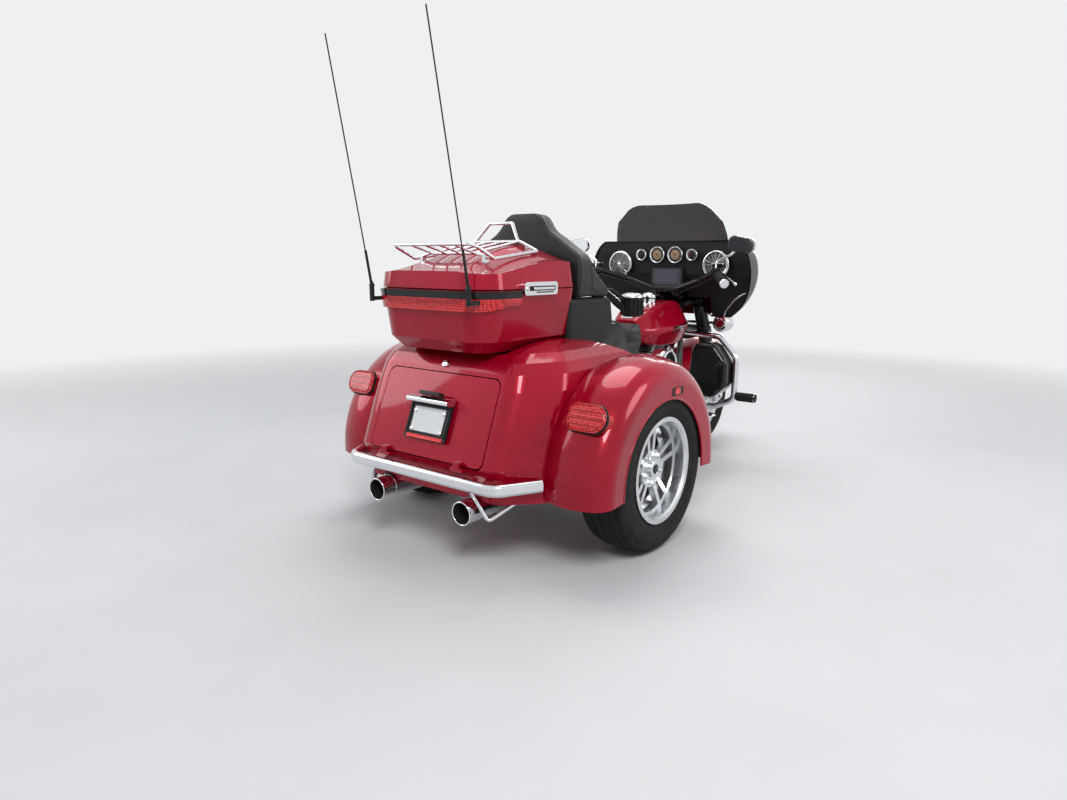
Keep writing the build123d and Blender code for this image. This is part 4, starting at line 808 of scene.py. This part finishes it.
def inflate(made, pressure, cap, keep):
    """Blow a pad up as cloth, with each point's move capped and scaled by keep."""
    rest = [v.co.copy() for v in made.data.vertices]
    normals = [v.normal.copy() for v in made.data.vertices]
    cloth = made.modifiers.new("cloth", "CLOTH")
    cloth.settings.use_pressure = True
    cloth.settings.uniform_pressure_force = pressure
    cloth.settings.effector_weights.gravity = 0
    cloth.settings.quality = 4
    cloth.settings.tension_stiffness = 12
    cloth.settings.compression_stiffness = 12
    cloth.settings.bending_stiffness = 0.4
    cloth.collision_settings.use_self_collision = False
    cloth.point_cache.frame_end = 20
    scene = bpy.context.scene
    for step in range(1, 21):
        scene.frame_set(step)
    graph = bpy.context.evaluated_depsgraph_get()
    blown = made.evaluated_get(graph).to_mesh()
    places = [v.co.copy() for v in blown.vertices]
    made.evaluated_get(graph).to_mesh_clear()
    made.modifiers.clear()
    scene.frame_set(1)
    for vert, start_at, normal, place in zip(made.data.vertices, rest, normals, places):
        move = place - start_at
        if move.length > cap:
            move = move.normalized() * cap
        vert.co = start_at + move * keep(start_at, normal)


def finish_pad(made, body, node):
    """One subdivision and the vinyl; the pad rides on its body and the solid it stands for is hidden."""
    smooth = made.modifiers.new("smooth", "SUBSURF")
    smooth.levels = 1
    smooth.render_levels = 1
    fresh = applied(made)
    fresh.materials.clear()
    fresh.materials.append(M["vinyl"])
    fresh.polygons.foreach_set("use_smooth", [True] * len(fresh.polygons))
    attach(made, body)
    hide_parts(node)
    return BVHTree.FromPolygons([v.co for v in fresh.vertices], [tuple(p.vertices) for p in fresh.polygons])


def laid(tree, starts, way, lift):
    """Points where lines from the starts meet a pad, raised off it."""
    line = []
    for start_at in starts:
        hit, normal = tree.ray_cast(P(*start_at), Vector(way).normalized())[:2]
        if hit is not None:
            line.append(hit + normal * lift / 1000)
    return line


def welt(name, line, radius=2.4):
    """Piping along a seam."""
    return piece(name, tube_data(line, radius / 1000, 8), "welt")


def stitches(name, line, gap=0.0085, length=0.005, radius=0.0007):
    """A row of short stitches along a line."""
    sets = []
    left = 0.0
    for a, b in zip(line, line[1:]):
        span = (b - a).length
        if span < 1e-6:
            continue
        way = (b - a) / span
        while left < span:
            place = a + way * left
            sets.append(tube_data([place, place + way * length], radius, 5))
            left += gap
        left -= span
    return merged(name, sets, "thread")


def even(low, high, count):
    return [low + (high - low) * k / (count - 1) for k in range(count)]


def seat_keep(place, normal):
    """The seat swells on top and at the sides, and stays put where it rests."""
    over = min(1.0, max(0.0, (normal.z + 0.5) / 0.6))
    tail = min(1.0, max(0.0, (place.y - P(0, 20, 0).y) / 0.03))
    nose = min(1.0, max(0.0, (P(0, 780, 0).y - place.y) / 0.03))
    return over * tail * nose


SEAT = soft_base("seat_pad", "seat", 0.005, 0.008, 5)
inflate(SEAT, 4.0, 0.008, seat_keep)
seat_tree = finish_pad(SEAT, "chassis", "seat")

BACK = soft_base("backrest_pad", "backrest", 0.004, 0.008, 4)
inflate(BACK, 4.0, 0.007, lambda place, normal: 1.0 if normal.y > -0.6 else 0.4)
back_tree = finish_pad(BACK, "chassis", "backrest")


def seat_half(y):
    """Half the width of the seat's top panel at a place along it."""
    rows = ((10, 168), (300, 168), (446, 150), (600, 122), (700, 92), (790, 70))
    for (y0, h0), (y1, h1) in zip(rows, rows[1:]):
        if y <= y1:
            return h0 + (h1 - h0) * (y - y0) / (y1 - y0)
    return rows[-1][1]


for side, place in SIDES:
    starts = [(side * seat_half(y), y, 1000) for y in even(70, 765, 110)]
    line = laid(seat_tree, starts, (0, 0, -1), 0.3)
    welt(f"seat_welt_{place}", line)
    inner = [(side * (seat_half(y) - 9), y, 1000) for y in even(75, 760, 110)]
    stitches(f"seat_stitches_{place}", laid(seat_tree, inner, (0, 0, -1), 0.5))
hump = [(x, 452 + 0.0006 * x * x, 1000) for x in even(-150, 150, 50)]
welt("seat_welt_hump", laid(seat_tree, hump, (0, 0, -1), 0.3))
for number, y in enumerate((150, 240, 330)):
    row = [(x, y, 1000) for x in even(-158, 158, 44)]
    stitches(f"seat_channel_{number}", laid(seat_tree, row, (0, 0, -1), 0.4))


def round_back(y, low_deg, high_deg, count, reach):
    """Starts all round the backrest's outline, at one depth."""
    return [
        (reach * cos(radians(a)), y, 1060 + reach * sin(radians(a)))
        for a in even(low_deg, high_deg, count)
    ]


for number, y in enumerate((-18, 62)):
    line = []
    for x, yy, z in round_back(y, -14, 194, 150, 600):
        way = Vector((-x, 0, 1060 - z))
        hit, normal = back_tree.ray_cast(P(x, yy, z), way.normalized())[:2]
        if hit is not None:
            line.append(hit + normal * 0.0004)
    welt(f"backrest_welt_{number}", line, 2.2)
for side, place in SIDES:
    row = [(side * (62 + 0.06 * (1200 - z)), 400, z) for z in even(1275, 880, 70)]
    line = laid(back_tree, row, (0, -1, 0), 0.4)
    stitches(f"backrest_stitches_{place}", line)

# Rear door: plate, frame, reflector and lock

DOOR_FOOT = Vector((0, -618, 389))
DOOR_UP = Vector((0, 0.3719, 0.9283))
DOOR_OUT = Vector((0, -0.9283, 0.3719))


def door_at(x, up, out):
    return tuple(Vector((x, 0, 0)) + DOOR_FOOT + DOOR_UP * up + DOOR_OUT * out)


slab(
    "plate_blank", round_box(80, 47, 6), 1.4, door_at(0, 140, 18.3), X, DOOR_UP, "plate", "trunk_door", 0.4
)
edging(
    "plate_frame", round_box(98, 58, 8), door_at(0, 141, 18), X, DOOR_UP, 3.4, "plastic", "trunk_door", 1.0
)
slab(
    "plate_reflector", round_box(92, 7, 3), 3.0, door_at(0, 74, 18.1), X, DOOR_UP, "reflector", "trunk_door"
)
bolts(
    "plate_bolts", [door_at(x, up, 19.8) for x in (-73, 73) for up in (100, 170)], DOOR_OUT, 6.5, 4.5,
    "steel", "trunk_door"
)
slab(
    "plate_lamp", round_box(54, 14, 4), 13, door_at(0, 230.6, 36), X, -DOOR_OUT, "plastic", "trunk_door", 3
)
LOCK_AXIS = (0, -sin(radians(58)), cos(radians(58)))
turned(
    "trunk_lock_ring", [(12.5, -2), (14.5, 0), (14.5, 8), (13, 10.5), (9, 11), (8.4, 9.6), (0, 9.6)],
    (0, -482, 724), LOCK_AXIS, "chrome"
)
LOCK_TOP = Vector((0, -482, 724)) + Vector(LOCK_AXIS) * 9.7
# The key slot is a thin near-black sheet on the lock: painted shade in the keyway.
slab("trunk_lock_slot_shade", round_box(1.3, 4.5, 1.2), 0.5, LOCK_TOP, X, (0, 0.53, 0.848), "black_soot_and_painted_shade", bevel=0.1)

# Tail lamps: gasket, edge and ribs

LAMP_NORMAL = Vector((0, -0.927, 0.375))
LAMP_UP = Vector((0, 0.375, 0.927))


def lamp_outline(side, grow):
    """The lamp's outline: tight corners inside, wide ones outside."""
    cuts = [(44 if sx == side else 26) + grow for sx in (1, -1, -1, 1)]
    return round_box(74 + grow, 46 + grow, cuts, 8)


for side, place in SIDES:
    face = Vector((side * 589, -418, 588))
    deep = tuple(face - LAMP_NORMAL * 16)
    near = tuple(face - LAMP_NORMAL * 5)
    edging(f"tail_lamp_gasket_{place}", lamp_outline(side, 1.5), deep, X, LAMP_UP, 5.5, "rubber")
    edging(f"tail_lamp_edge_{place}", lamp_outline(side, 0.5), near, X, LAMP_UP, 2.4, "red_lens")
    rows = []
    for up in (-24, 0, 24):
        wide = 50 if up else 62
        spot = face + LAMP_UP * up + LAMP_NORMAL * 0.05
        rows.append(slab_data(round_box(wide, 1.1, 1, 3), 0.9, spot, X, LAMP_UP, 0.4))
    merged(f"tail_lamp_ribs_{place}", rows, "red_lens")

# Fenders: lip roll, liner and side markers

for side, place in SIDES:
    arc = [
        (side * 690.2, -20 + 306 * cos(radians(a)), 300 + 306 * sin(radians(a)))
        for a in range(-3, 184, 3)
    ]
    tube(f"fender_roll_{place}", arc, 4.6, "red", sides=10, steps=2)
    outer = [(457, 356), (457, 428), (560, 449), (640, 434), (671, 409), (684, 371), (682, 318)]
    inner = [(x - (2 if x > 600 else 0), r - 2.5) for x, r in reversed(outer)]
    piece(
        f"fender_liner_{place}",
        arc_data([(side * x, r) for x, r in outer + inner], (-20, 300), -2, 182, 60), "liner"
    )
    x_way = (0, side, 0)
    spot = (side * 693.4, 42, 629)
    slab(f"side_marker_base_{place}", round_box(44, 16, 8), 0.9, spot, x_way, Z, "plastic", bevel=0.3)
    slab(f"side_marker_{place}", round_box(20, 12, 4), 1.5, spot, x_way, Z, "reflector", bevel=0.4)

# Exhaust tips, hangers and bands

TIP_X = 224
TIP_Z = 230
for side, place in SIDES:
    mouth = (side * TIP_X, -645, TIP_Z)
    turned_closed(
        f"exhaust_soot_{place}", [(39.3, 0), (39.3, 205), (0.02, 205), (0.02, 203), (38.7, 203), (38.7, 0)],
        mouth, Y, 48, "black_soot_and_painted_shade"
    )
    ring(f"exhaust_roll_{place}", 42, 2.6, (side * TIP_X, -648, TIP_Z), Y, "chrome")
    for number, y in enumerate((-586, -300)):
        ring(f"exhaust_band_{place}_{number}", 42.6, 2.2, (side * TIP_X, y, TIP_Z), Y, "chrome")
    arm = [
        (side * 256, -634, 318), (side * 303, -602, 216), (side * 309, -596, 211), (side * 316, -590, 214),
        (side * 394, -484, 294)
    ]
    tube(f"bumper_stay_{place}", arm, 7.5, "chrome", sides=12, steps=1)
    strap = [(side * TIP_X, -560, 272), (side * TIP_X, -552, 300)]
    tube(f"exhaust_hanger_{place}", strap, 7, "frame", sides=10)

# Top case: latch and whip nuts

LATCH_X = 306.2
# The latch's recess and slot are thin near-black sheets on the case: painted shade.
slab("latch_recess_shade", round_box(78, 8.5, 3, 4), 0.6, (LATCH_X - 0.3, -292, 1009), Y, Z, "black_soot_and_painted_shade", bevel=0.2)
slab("latch_lever", round_box(62, 4.2, 2, 4), 4.0, (LATCH_X - 0.5, -284, 1009), Y, Z, "chrome", bevel=1.2)
slab("latch_slot_shade", round_box(52, 2.2, 1, 3), 0.5, (LATCH_X - 0.3, -276, 995), Y, Z, "black_soot_and_painted_shade", bevel=0.2)
turned(
    "latch_lock", [(7.5, -0.5), (7.5, 2.0), (6.3, 3.0), (3.4, 3.0), (3.2, 2.2), (0, 2.2)],
    (LATCH_X, -378, 1008), X, "chrome", segments=24
)
for side, place in SIDES:
    turned(
        f"whip_nut_{place}", [(5, -2), (10, -2), (10, 6), (8.5, 8), (5.5, 9), (5, 15), (4.2, 17), (0, 17)],
        (side * 245, -622, 1012), Z, "black", segments=6, smooth_deg=20
    )

# Wheels: rim lips, lug nuts, caps and valves

CAP_X = 633
_, FRONT_Y, FRONT_Z = FRONT_AXLE
for side, place in SIDES:
    body = f"rear_wheel_{place}"
    alloy = f"rim_rear_{place}"
    for number, out in enumerate((92, -92)):
        ring(
            f"rim_lip_{place}_{number}", 204.3, 2.6, (side * (575 + out), 0, REAR_AXLE_Z), X, alloy, body,
            96
        )
    turned(
        f"wheel_cap_{place}", [(33, -3), (33, 0.5), (30, 2.4), (24, 2.8), (22.5, 1.8), (12, 3.4), (0, 4.0)],
        (side * CAP_X, 0, REAR_AXLE_Z), (side, 0, 0), "chrome", body
    )
    turned(
        f"wheel_cap_face_{place}", [(19, 1.9), (19, 4.0), (17.5, 4.9), (0, 5.4)],
        (side * CAP_X, 0, REAR_AXLE_Z), (side, 0, 0), "black", body, 40
    )
    turned(
        f"brake_backing_{place}", [(44, 0), (168, 0), (172, 3), (172, 5), (44, 5)],
        (side * 556, 0, REAR_AXLE_Z), (side, 0, 0), "liner", body, 64
    )
    nuts = []
    for number in range(5):
        angle = radians(126 + 72 * number)
        spot = (side * 629, 57 * cos(angle), REAR_AXLE_Z + 57 * sin(angle))
        nuts.append(
            turn_data([(10.4, -8), (10.4, 0.4), (8.5, 3.0), (4, 4.4), (0, 4.8)], spot, (side, 0, 0), 6)
        )
    merged(f"lug_nuts_{place}", nuts, "chrome", body, 20)
    turned(
        f"valve_{place}", [(3.6, 0), (3.6, 18), (4.6, 19), (4.6, 30), (3.4, 32), (0, 32)],
        (side * 604, -150, REAR_AXLE_Z - 100), (side * 0.5, 0.72, 0.48), "rubber", body, 16
    )

for side, place in SIDES:
    ring(
        f"front_rim_lip_{place}", 216.2, 2.4, (side * 48, FRONT_Y, FRONT_Z), X, "rim_front",
        "front_wheel", 96
    )
    spots = []
    hole_shades = []
    for number in range(5):
        angle = radians(72 * number + 20)
        spots.append((side * 73.2, FRONT_Y + 36 * cos(angle), FRONT_Z + 36 * sin(angle)))
    # Each hole in the brake disc is a thin near-black disc on its face: painted shade in the hole.
    for number in range(30):
        angle = radians(12 * number)
        reach = (112, 124, 136)[number % 3]
        spot = (side * 73.05, FRONT_Y + reach * cos(angle), FRONT_Z + reach * sin(angle))
        hole_shades.append(turn_data([(4, 0), (4, 0.25), (0, 0.25)], spot, (side, 0, 0), 14))
    bolts(f"disc_bolts_{place}", spots, (side, 0, 0), 5.5, 4.5, "steel", "front_wheel")
    merged(f"disc_hole_shades_{place}", hole_shades, "black_soot_and_painted_shade", "front_wheel")
    turned(
        f"axle_nut_{place}", [(14, -3), (14, 5), (11, 9), (0, 9)], (side * 152, FRONT_Y, FRONT_Z),
        (side, 0, 0), "chrome", "steering", 6, smooth_deg=20
    )

# Dash: gauges, speakers and screen

GAUGE_Y = 1208
BACKWARD = (0, -1, 0)


def dial_mark(centre, degrees, reach, box, lift, thick, bevel):
    """A flat bar on a dial that points away from its centre."""
    angle = radians(degrees)
    way = Vector((cos(angle), 0, sin(angle)))
    across = Vector((-sin(angle), 0, cos(angle)))
    spot = Vector(centre) + way * reach + Vector((0, -lift, 0))
    return slab_data(round_box(*box, 2), thick, spot, way, across, bevel)


for number, (x, z, radius) in enumerate(((-152, 1141, 30), (-54, 1141, 43), (54, 1141, 43), (152, 1141, 30))):
    centre = (x, GAUGE_Y, z)
    turned_closed(
        f"gauge_bezel_{number}",
        [
            (radius + 2.5, -8), (radius + 2.5, 1), (radius, 4.5), (radius - 3, 4.8), (radius - 6, 2.0),
            (radius - 6.5, 0.3), (radius - 4, -8)
        ],
        centre, BACKWARD, 64, "chrome", "steering"
    )
    turned(
        f"gauge_face_{number}", [(0, 0.2), (radius - 6.2, 0.2), (radius - 6.6, 0.8), (0, 0.9)], centre,
        BACKWARD, "dial", "steering"
    )
    inner = 0.62 if radius > 40 else 0.3
    turned(
        f"gauge_plate_{number}", [(0, 0.9), (radius * inner, 0.9), (radius * inner - 1, 1.5), (0, 1.6)],
        centre, BACKWARD, "dial_pale" if radius > 40 else "dial", "steering"
    )
    ticks = []
    for step in range(25):
        half = 2.0 if step % 4 == 0 else 1.1
        ticks.append(dial_mark(centre, -38 + step * 256 / 24, radius - 9.5, (half, 0.45, 0.3), 1.0, 0.3, 0.1))
    merged(f"gauge_ticks_{number}", ticks, "white", "steering")
    needle = dial_mark(centre, 150, radius * 0.34, (radius * 0.36, 0.9, 0.6), 2.4, 0.8, 0.3)
    merged(f"gauge_needle_{number}", [needle], "needle", "steering")
    turned(
        f"gauge_hub_{number}", [(3.4, 1.2), (3.4, 3.6), (2.6, 4.4), (0, 4.6)], centre, BACKWARD, "plastic",
        "steering", 24
    )

SPEAKER_X, SPEAKER_Y, SPEAKER_Z = 288, 1212, 1090


def dish(reach):
    """Where the speaker's grille lies along Y, deepest in the middle."""
    return SPEAKER_Y - 4 - 6 * (1 - (reach / 60) ** 2)


for side, place in SIDES:
    centre = (side * SPEAKER_X, SPEAKER_Y, SPEAKER_Z)
    turned_closed(
        f"speaker_ring_{place}", [(74, -8), (74, 1), (71, 5), (66, 6.5), (61, 4.5), (59, 0.5), (60, -8)],
        centre, BACKWARD, 72, "chrome", "steering"
    )
    turned(
        f"speaker_cone_{place}", [(0, 0.4), (58, 0.4), (58, 0.8), (0, 0.8)], centre, BACKWARD, "black_soot_and_painted_shade",
        "steering"
    )
    wires = [
        ring_data(reach, 0.9, (side * SPEAKER_X, dish(reach), SPEAKER_Z), BACKWARD, 48, 6)
        for reach in range(8, 60, 6)
    ]
    for step in range(16):
        angle = pi * step / 8
        line = []
        for reach in (6, 24, 42, 60):
            x = side * SPEAKER_X + reach * cos(angle)
            line.append(P(x, dish(reach), SPEAKER_Z + reach * sin(angle)))
        wires.append(tube_data(line, 0.0009, 6))
    merged(f"speaker_grille_{place}", wires, "steel", "steering")
    turned(
        f"speaker_button_{place}", [(9, -1), (9, 1.4), (6, 2.6), (0, 3)],
        (side * SPEAKER_X, SPEAKER_Y - 9.5, SPEAKER_Z), BACKWARD, "chrome", "steering", 32
    )

slab("screen_glass", round_box(88, 45, 5), 1.6, (0, 1221.9, 1024), X, Z, "glass_black", "steering", 0.6)
slab("screen_picture", round_box(70, 34, 2), 0.3, (0, 1220.25, 1027), X, Z, "display", "steering", 0.05)
edging("screen_frame", round_box(93, 49, 8), (0, 1221.5, 1023), X, Z, 3.2, "plastic", "steering", 0.5)
keys = [
    slab_data(round_box(6, 3, 1.5, 3), 2.2, (x, 1221.6, 974.5), X, Z, 0.6)
    for x in (-60, -36, -12, 12, 36, 60)
]
merged("screen_keys", keys, "rubber", "steering")

# Front lamps: glass and rims

LAMPS = (
    ("headlamp", (0, 1612, 985), 88),
    ("passing_lamp_left", (-214, 1542, 766), 50),
    ("passing_lamp_right", (214, 1542, 766), 50),
)
for name, centre, radius in LAMPS:
    turned_closed(
        f"{name}_rim",
        [
            (radius, -14), (radius, -5), (radius - 2, -1.2), (radius - 6, -0.4), (radius - 9, -2.5),
            (radius - 9, -14)
        ],
        centre, Y, 64, "chrome", "steering"
    )
    turned(
        f"{name}_glass", [(radius - 9, -4), (radius * 0.7, -1.6), (radius * 0.4, -0.6), (0, -0.3)], centre,
        Y, "lamp_glass", "steering", 64
    )
    cells = [
        ring_data(radius * share, 1.2, (centre[0], centre[1] - 1.0, centre[2]), Y, 48, 6)
        for share in (0.28, 0.55)
    ]
    merged(f"{name}_cells", cells, "lamp_glass", "steering")

# Fairing trim

for side, place in SIDES:
    route = [
        (458, 1284, 966), (428, 1278, 944), (400, 1281, 930), (371, 1289, 908), (338, 1302, 876),
        (312, 1315, 844), (300, 1322, 818)
    ]
    tube(
        f"fairing_trim_{place}", [(side * x, y, z) for x, y, z in route], 4.2, "chrome", "steering",
        sides=10
    )

# Handlebar: grips, switches, reservoirs and leads

BAR_BEND = Vector((345, 1080, 1055))
BAR_END = Vector((455, 945, 1005))
BAR_WAY = (BAR_END - BAR_BEND).normalized()


def along_grip(side, distance, up=0.0):
    spot = BAR_BEND + BAR_WAY * distance
    return (side * spot.x, spot.y, spot.z + up)


for side, place in SIDES:
    way = (side * BAR_WAY.x, BAR_WAY.y, BAR_WAY.z)
    profile = [(24.5, 0), (24.5, 4), (21.2, 6)]
    for step in range(24):
        base = 8 + step * 5
        profile += [(20.6, base), (22.0, base + 1.2), (22.0, base + 3.6), (20.6, base + 4.8)]
    profile += [(20.6, 129), (20.2, 130)]
    inner = [(19.9, 130), (19.9, 0)]
    turned_closed(f"grip_{place}", profile + inner, along_grip(side, 62), way, 40, "rubber", "steering")
    turned(
        f"grip_end_{place}", [(21, -4), (22.4, -3), (22.4, 2), (20, 5), (12, 6), (0, 6)],
        along_grip(side, 191), way, "chrome", "steering"
    )
    turned_closed(
        f"switch_housing_{place}", [(25.3, 3), (27.5, 5), (27.5, 42), (25.3, 44.5)], along_grip(side, 0),
        way, 40, "housing", "steering"
    )
    buttons = []
    for distance, tilt in ((13, 20), (13, 70), (28, 20), (28, 70)):
        out = Vector((-side * 0.35, -cos(radians(tilt)) * 0.9, sin(radians(tilt))))
        flat = out - Vector(way) * out.dot(Vector(way))
        flat.normalize()
        centre = Vector(along_grip(side, distance)) + flat * 27.2
        across = flat.cross(Vector(way))
        buttons.append(slab_data(round_box(5.5, 4, 1.5, 3), 3.0, centre, way, across, 0.8))
    merged(f"switch_buttons_{place}", buttons, "rubber", "steering")
    x, y, z = along_grip(side, 22)
    end_x, end_y, end_z = along_grip(side, 192)
    pivot = Vector((x + side * 12, y + 38, z + 4))
    tip = Vector((end_x + side * 42, end_y + 34, end_z - 2))
    route = [tuple(pivot + (tip - pivot) * share) for share in (0.03, 0.3, 0.7, 0.985)]
    tube(f"lever_{place}", route, 6.9, "chrome", "steering", sides=14)
    ball = [(0.02 + 8.6 * sin(radians(a)), -8.6 * cos(radians(a))) for a in range(0, 181, 20)]
    turned(
        f"lever_end_{place}", ball, tip - (tip - pivot).normalized() * 4, tip - pivot, "chrome", "steering",
        20
    )
    slab(
        f"reservoir_{place}", round_box(30, 19, 6), 20, (x + side * 6, y + 20, z + 25), X, Y, "housing",
        "steering", 3
    )
    slab(
        f"reservoir_lid_{place}", round_box(31, 20, 6), 3.4, (x + side * 6, y + 20, z + 45), X, Y, "chrome",
        "steering", 1.2
    )
    bolts(
        f"reservoir_screws_{place}", [(x + side * 6 + dx, y + 20, z + 48.4) for dx in (-22, 22)], Z, 3.0,
        1.6, "steel", "steering", 12
    )
    lead = [
        (352, 1062, 1027), (318, 1098, 1020), (262, 1140, 1003), (212, 1172, 984), (150, 1186, 962),
        (96, 1196, 940)
    ]
    tube(f"bar_lead_{place}", [(side * a, b, c) for a, b, c in lead], 4.0, "rubber", "steering", sides=8)
    clips = []
    for spot in ((300, 1122, 1039), (240, 1166, 1018)):
        clips.append(
            ring_data(18.4, 2.0, (side * spot[0], spot[1], spot[2]), (side * 0.72, -0.66, 0.25), 24, 6)
        )
    merged(f"bar_clips_{place}", clips, "rubber", "steering")

# Mirror glass on the face towards the rider

for side, place in SIDES:
    corners = [(415, 1163, 28), (541, 1151.5, 25), (550, 1211, 29), (425, 1231, 29)]
    centre = Vector((sum(c[0] for c in corners) / 4, sum(c[1] for c in corners) / 4))
    outline = []
    count = len(corners)
    for k in range(count):
        here = Vector(corners[k][:2])
        before = (Vector(corners[k - 1][:2]) - here).normalized()
        after = (Vector(corners[(k + 1) % count][:2]) - here).normalized()
        cut = corners[k][2]
        for step in range(9):
            t = step / 8
            spot = here + before * cut * (1 - t) ** 2 + after * cut * t**2
            outline.append((side * (spot.x - centre.x), spot.y - centre.y))
    if side < 0:
        outline.reverse()
    slab(
        f"mirror_glass_{place}", outline, 0.8, (side * centre.x, 1061.9, centre.y), X, Z, "mirror",
        "steering", 0.3
    )
    turned(
        f"mirror_pivot_{place}", [(10, -5), (11, 0), (10, 7), (5, 11), (0, 12)], (side * 462, 1078, 1176),
        (0, 0, -1), "chrome", "steering", 28
    )

# Tank, console and drink holder

CUP_RIM = (262, 420, 942)
for side, place in SIDES:
    route = [(164.5, 1016, 766), (167.6, 1060, 772), (168.4, 1104, 777), (164, 1140, 782), (158, 1172, 786)]
    line = [(side * x, y, z) for x, y, z in route]
    tube(f"tank_strip_{place}", line, 6.0, "chrome", sides=8)
    lower = [(x, y, z - 15) for x, y, z in line[:4]]
    tube(f"tank_strip_low_{place}", lower, 5.0, "chrome", sides=8)
turned(
    "fuel_cap", [(42, -3), (43, 4), (41, 12), (33, 20), (20, 26), (8, 28.5), (0, 29)], (0, 1040, 920), Z,
    "chrome"
)
turned_closed(
    "cup_ring", [(47.2, -3), (50, -3), (53, 0), (53, 3.5), (50, 6), (47.4, 6), (45.4, 3), (45.4, 0)],
    CUP_RIM, Z, 56, "chrome"
)
turned(
    "cup_lid", [(52, 4), (53, 8), (51, 13), (43, 20), (29, 26), (12, 29), (0, 29.5)], CUP_RIM, Z,
    "chrome", segments=56
)
tube(
    "seat_rail", [(200, 222, 834), (238, 238, 840), (236, 300, 842), (216, 348, 835), (186, 362, 830)], 6.0,
    "chrome", sides=10
)
ribs = []
for step in range(16):
    angle = 2 * pi * step / 16
    x = CUP_RIM[0] + 48.2 * cos(angle)
    y = CUP_RIM[1] + 48.2 * sin(angle)
    ribs.append(tube_data([P(x, y, 872), P(x, y, 940)], 0.0034, 8))
merged("cup_ribs", ribs, "rubber")

# Engine dress

AIR_CLEANER = (205, 905, 590)
turned(
    "air_cleaner_ring",
    [(77, -4), (79, 0), (77, 4), (70, 6), (64, 3), (62, 0.6), (30, 0.6), (28, 3.5), (0, 4.5)],
    AIR_CLEANER, X, "chrome", segments=64
)
turned(
    "air_cleaner_band", [(62, 0.8), (62, 1.4), (31, 1.4), (31, 0.8)], AIR_CLEANER, X, "black",
    segments=64
)
bolts("air_cleaner_bolt", [(209, 905, 590)], X, 7, 5, "steel")
turned(
    "derby_cover", [(64, -2), (64, 2), (60, 5), (48, 6), (46, 4.6), (0, 6.5)], (-215, 700, 335), (-1, 0, 0),
    "chrome", segments=64
)
bolts(
    "derby_bolts",
    [(-219.5, 700 + 55 * cos(radians(a)), 335 + 55 * sin(radians(a))) for a in (18, 90, 162, 234, 306)],
    (-1, 0, 0), 4.2, 3.0, "steel"
)
bolts(
    "primary_bolts",
    [
        (-215.2, y, z) for y,
        z in (
            (600, 262), (600, 405), (680, 418), (780, 420), (880, 414), (965, 385), (975, 285), (880, 250),
            (780, 246), (690, 248)
        )
    ],
    (-1, 0, 0), 5, 4, "steel"
)
rods = []
for lean in (-1, 1):
    tilt = radians(22.5) * lean
    for gap in (-15, 15):
        foot = P(86, 905 + lean * 20 + gap * 0.6, 420)
        head = P(86, 905 + lean * 20 + gap + 225 * sin(tilt), 420 + 225 * cos(tilt))
        rods.append(tube_data([foot, head], 0.0072, 14))
        way = (head - foot).normalized()
        rods.append(tube_data([foot, foot + way * 0.02], 0.011, 16))
        rods.append(tube_data([head - way * 0.03, head], 0.010, 16))
merged("pushrod_tubes", rods, "chrome")

# Boards, pegs and guards

for side, place in SIDES:
    strips = [
        slab_data(round_box(46, 6.5, 3, 4), 4.0, (side * 293, y, 318), X, Y, 1.2)
        for y in range(928, 1160, 22)
    ]
    merged(f"board_pads_{place}", strips, "rubber")
    edging(f"board_rim_{place}", round_box(57, 135, 22), (side * 293, 1040, 309), X, Y, 6.0, "chrome")
    strips = [
        slab_data(round_box(34, 6, 3, 4), 3.4, (side * 276, y, 388), X, Y, 1.0)
        for y in range(494, 624, 21)
    ]
    merged(f"rear_board_pads_{place}", strips, "rubber")
    profile = []
    for step in range(11):
        base = 4 + step * 8
        profile += [(21.6, base), (23.8, base + 1.5), (23.8, base + 5.2), (21.6, base + 6.8)]
    turned_closed(
        f"peg_ribs_{place}", profile + [(20, 92), (20, 3)], (side * 422, 1268, 402), (side, 0, 0), 32,
        "rubber"
    )
    turned(
        f"peg_end_{place}", [(20, -3), (22.5, -2), (22.5, 1), (16, 2.6), (0, 3)], (side * 519, 1268, 402),
        (side, 0, 0), "chrome", segments=32
    )
    pocket = round_box(72, 88, 30)
    edging(f"pod_door_edge_{place}", pocket, (side * 268, 1176, 560), X, Z, 2.2, "plastic")
    slab(
        f"pod_door_{place}", round_box(68, 84, 27), 2.0, (side * 268, 1176.2, 560), X, Z, "plastic",
        bevel=1.2
    )
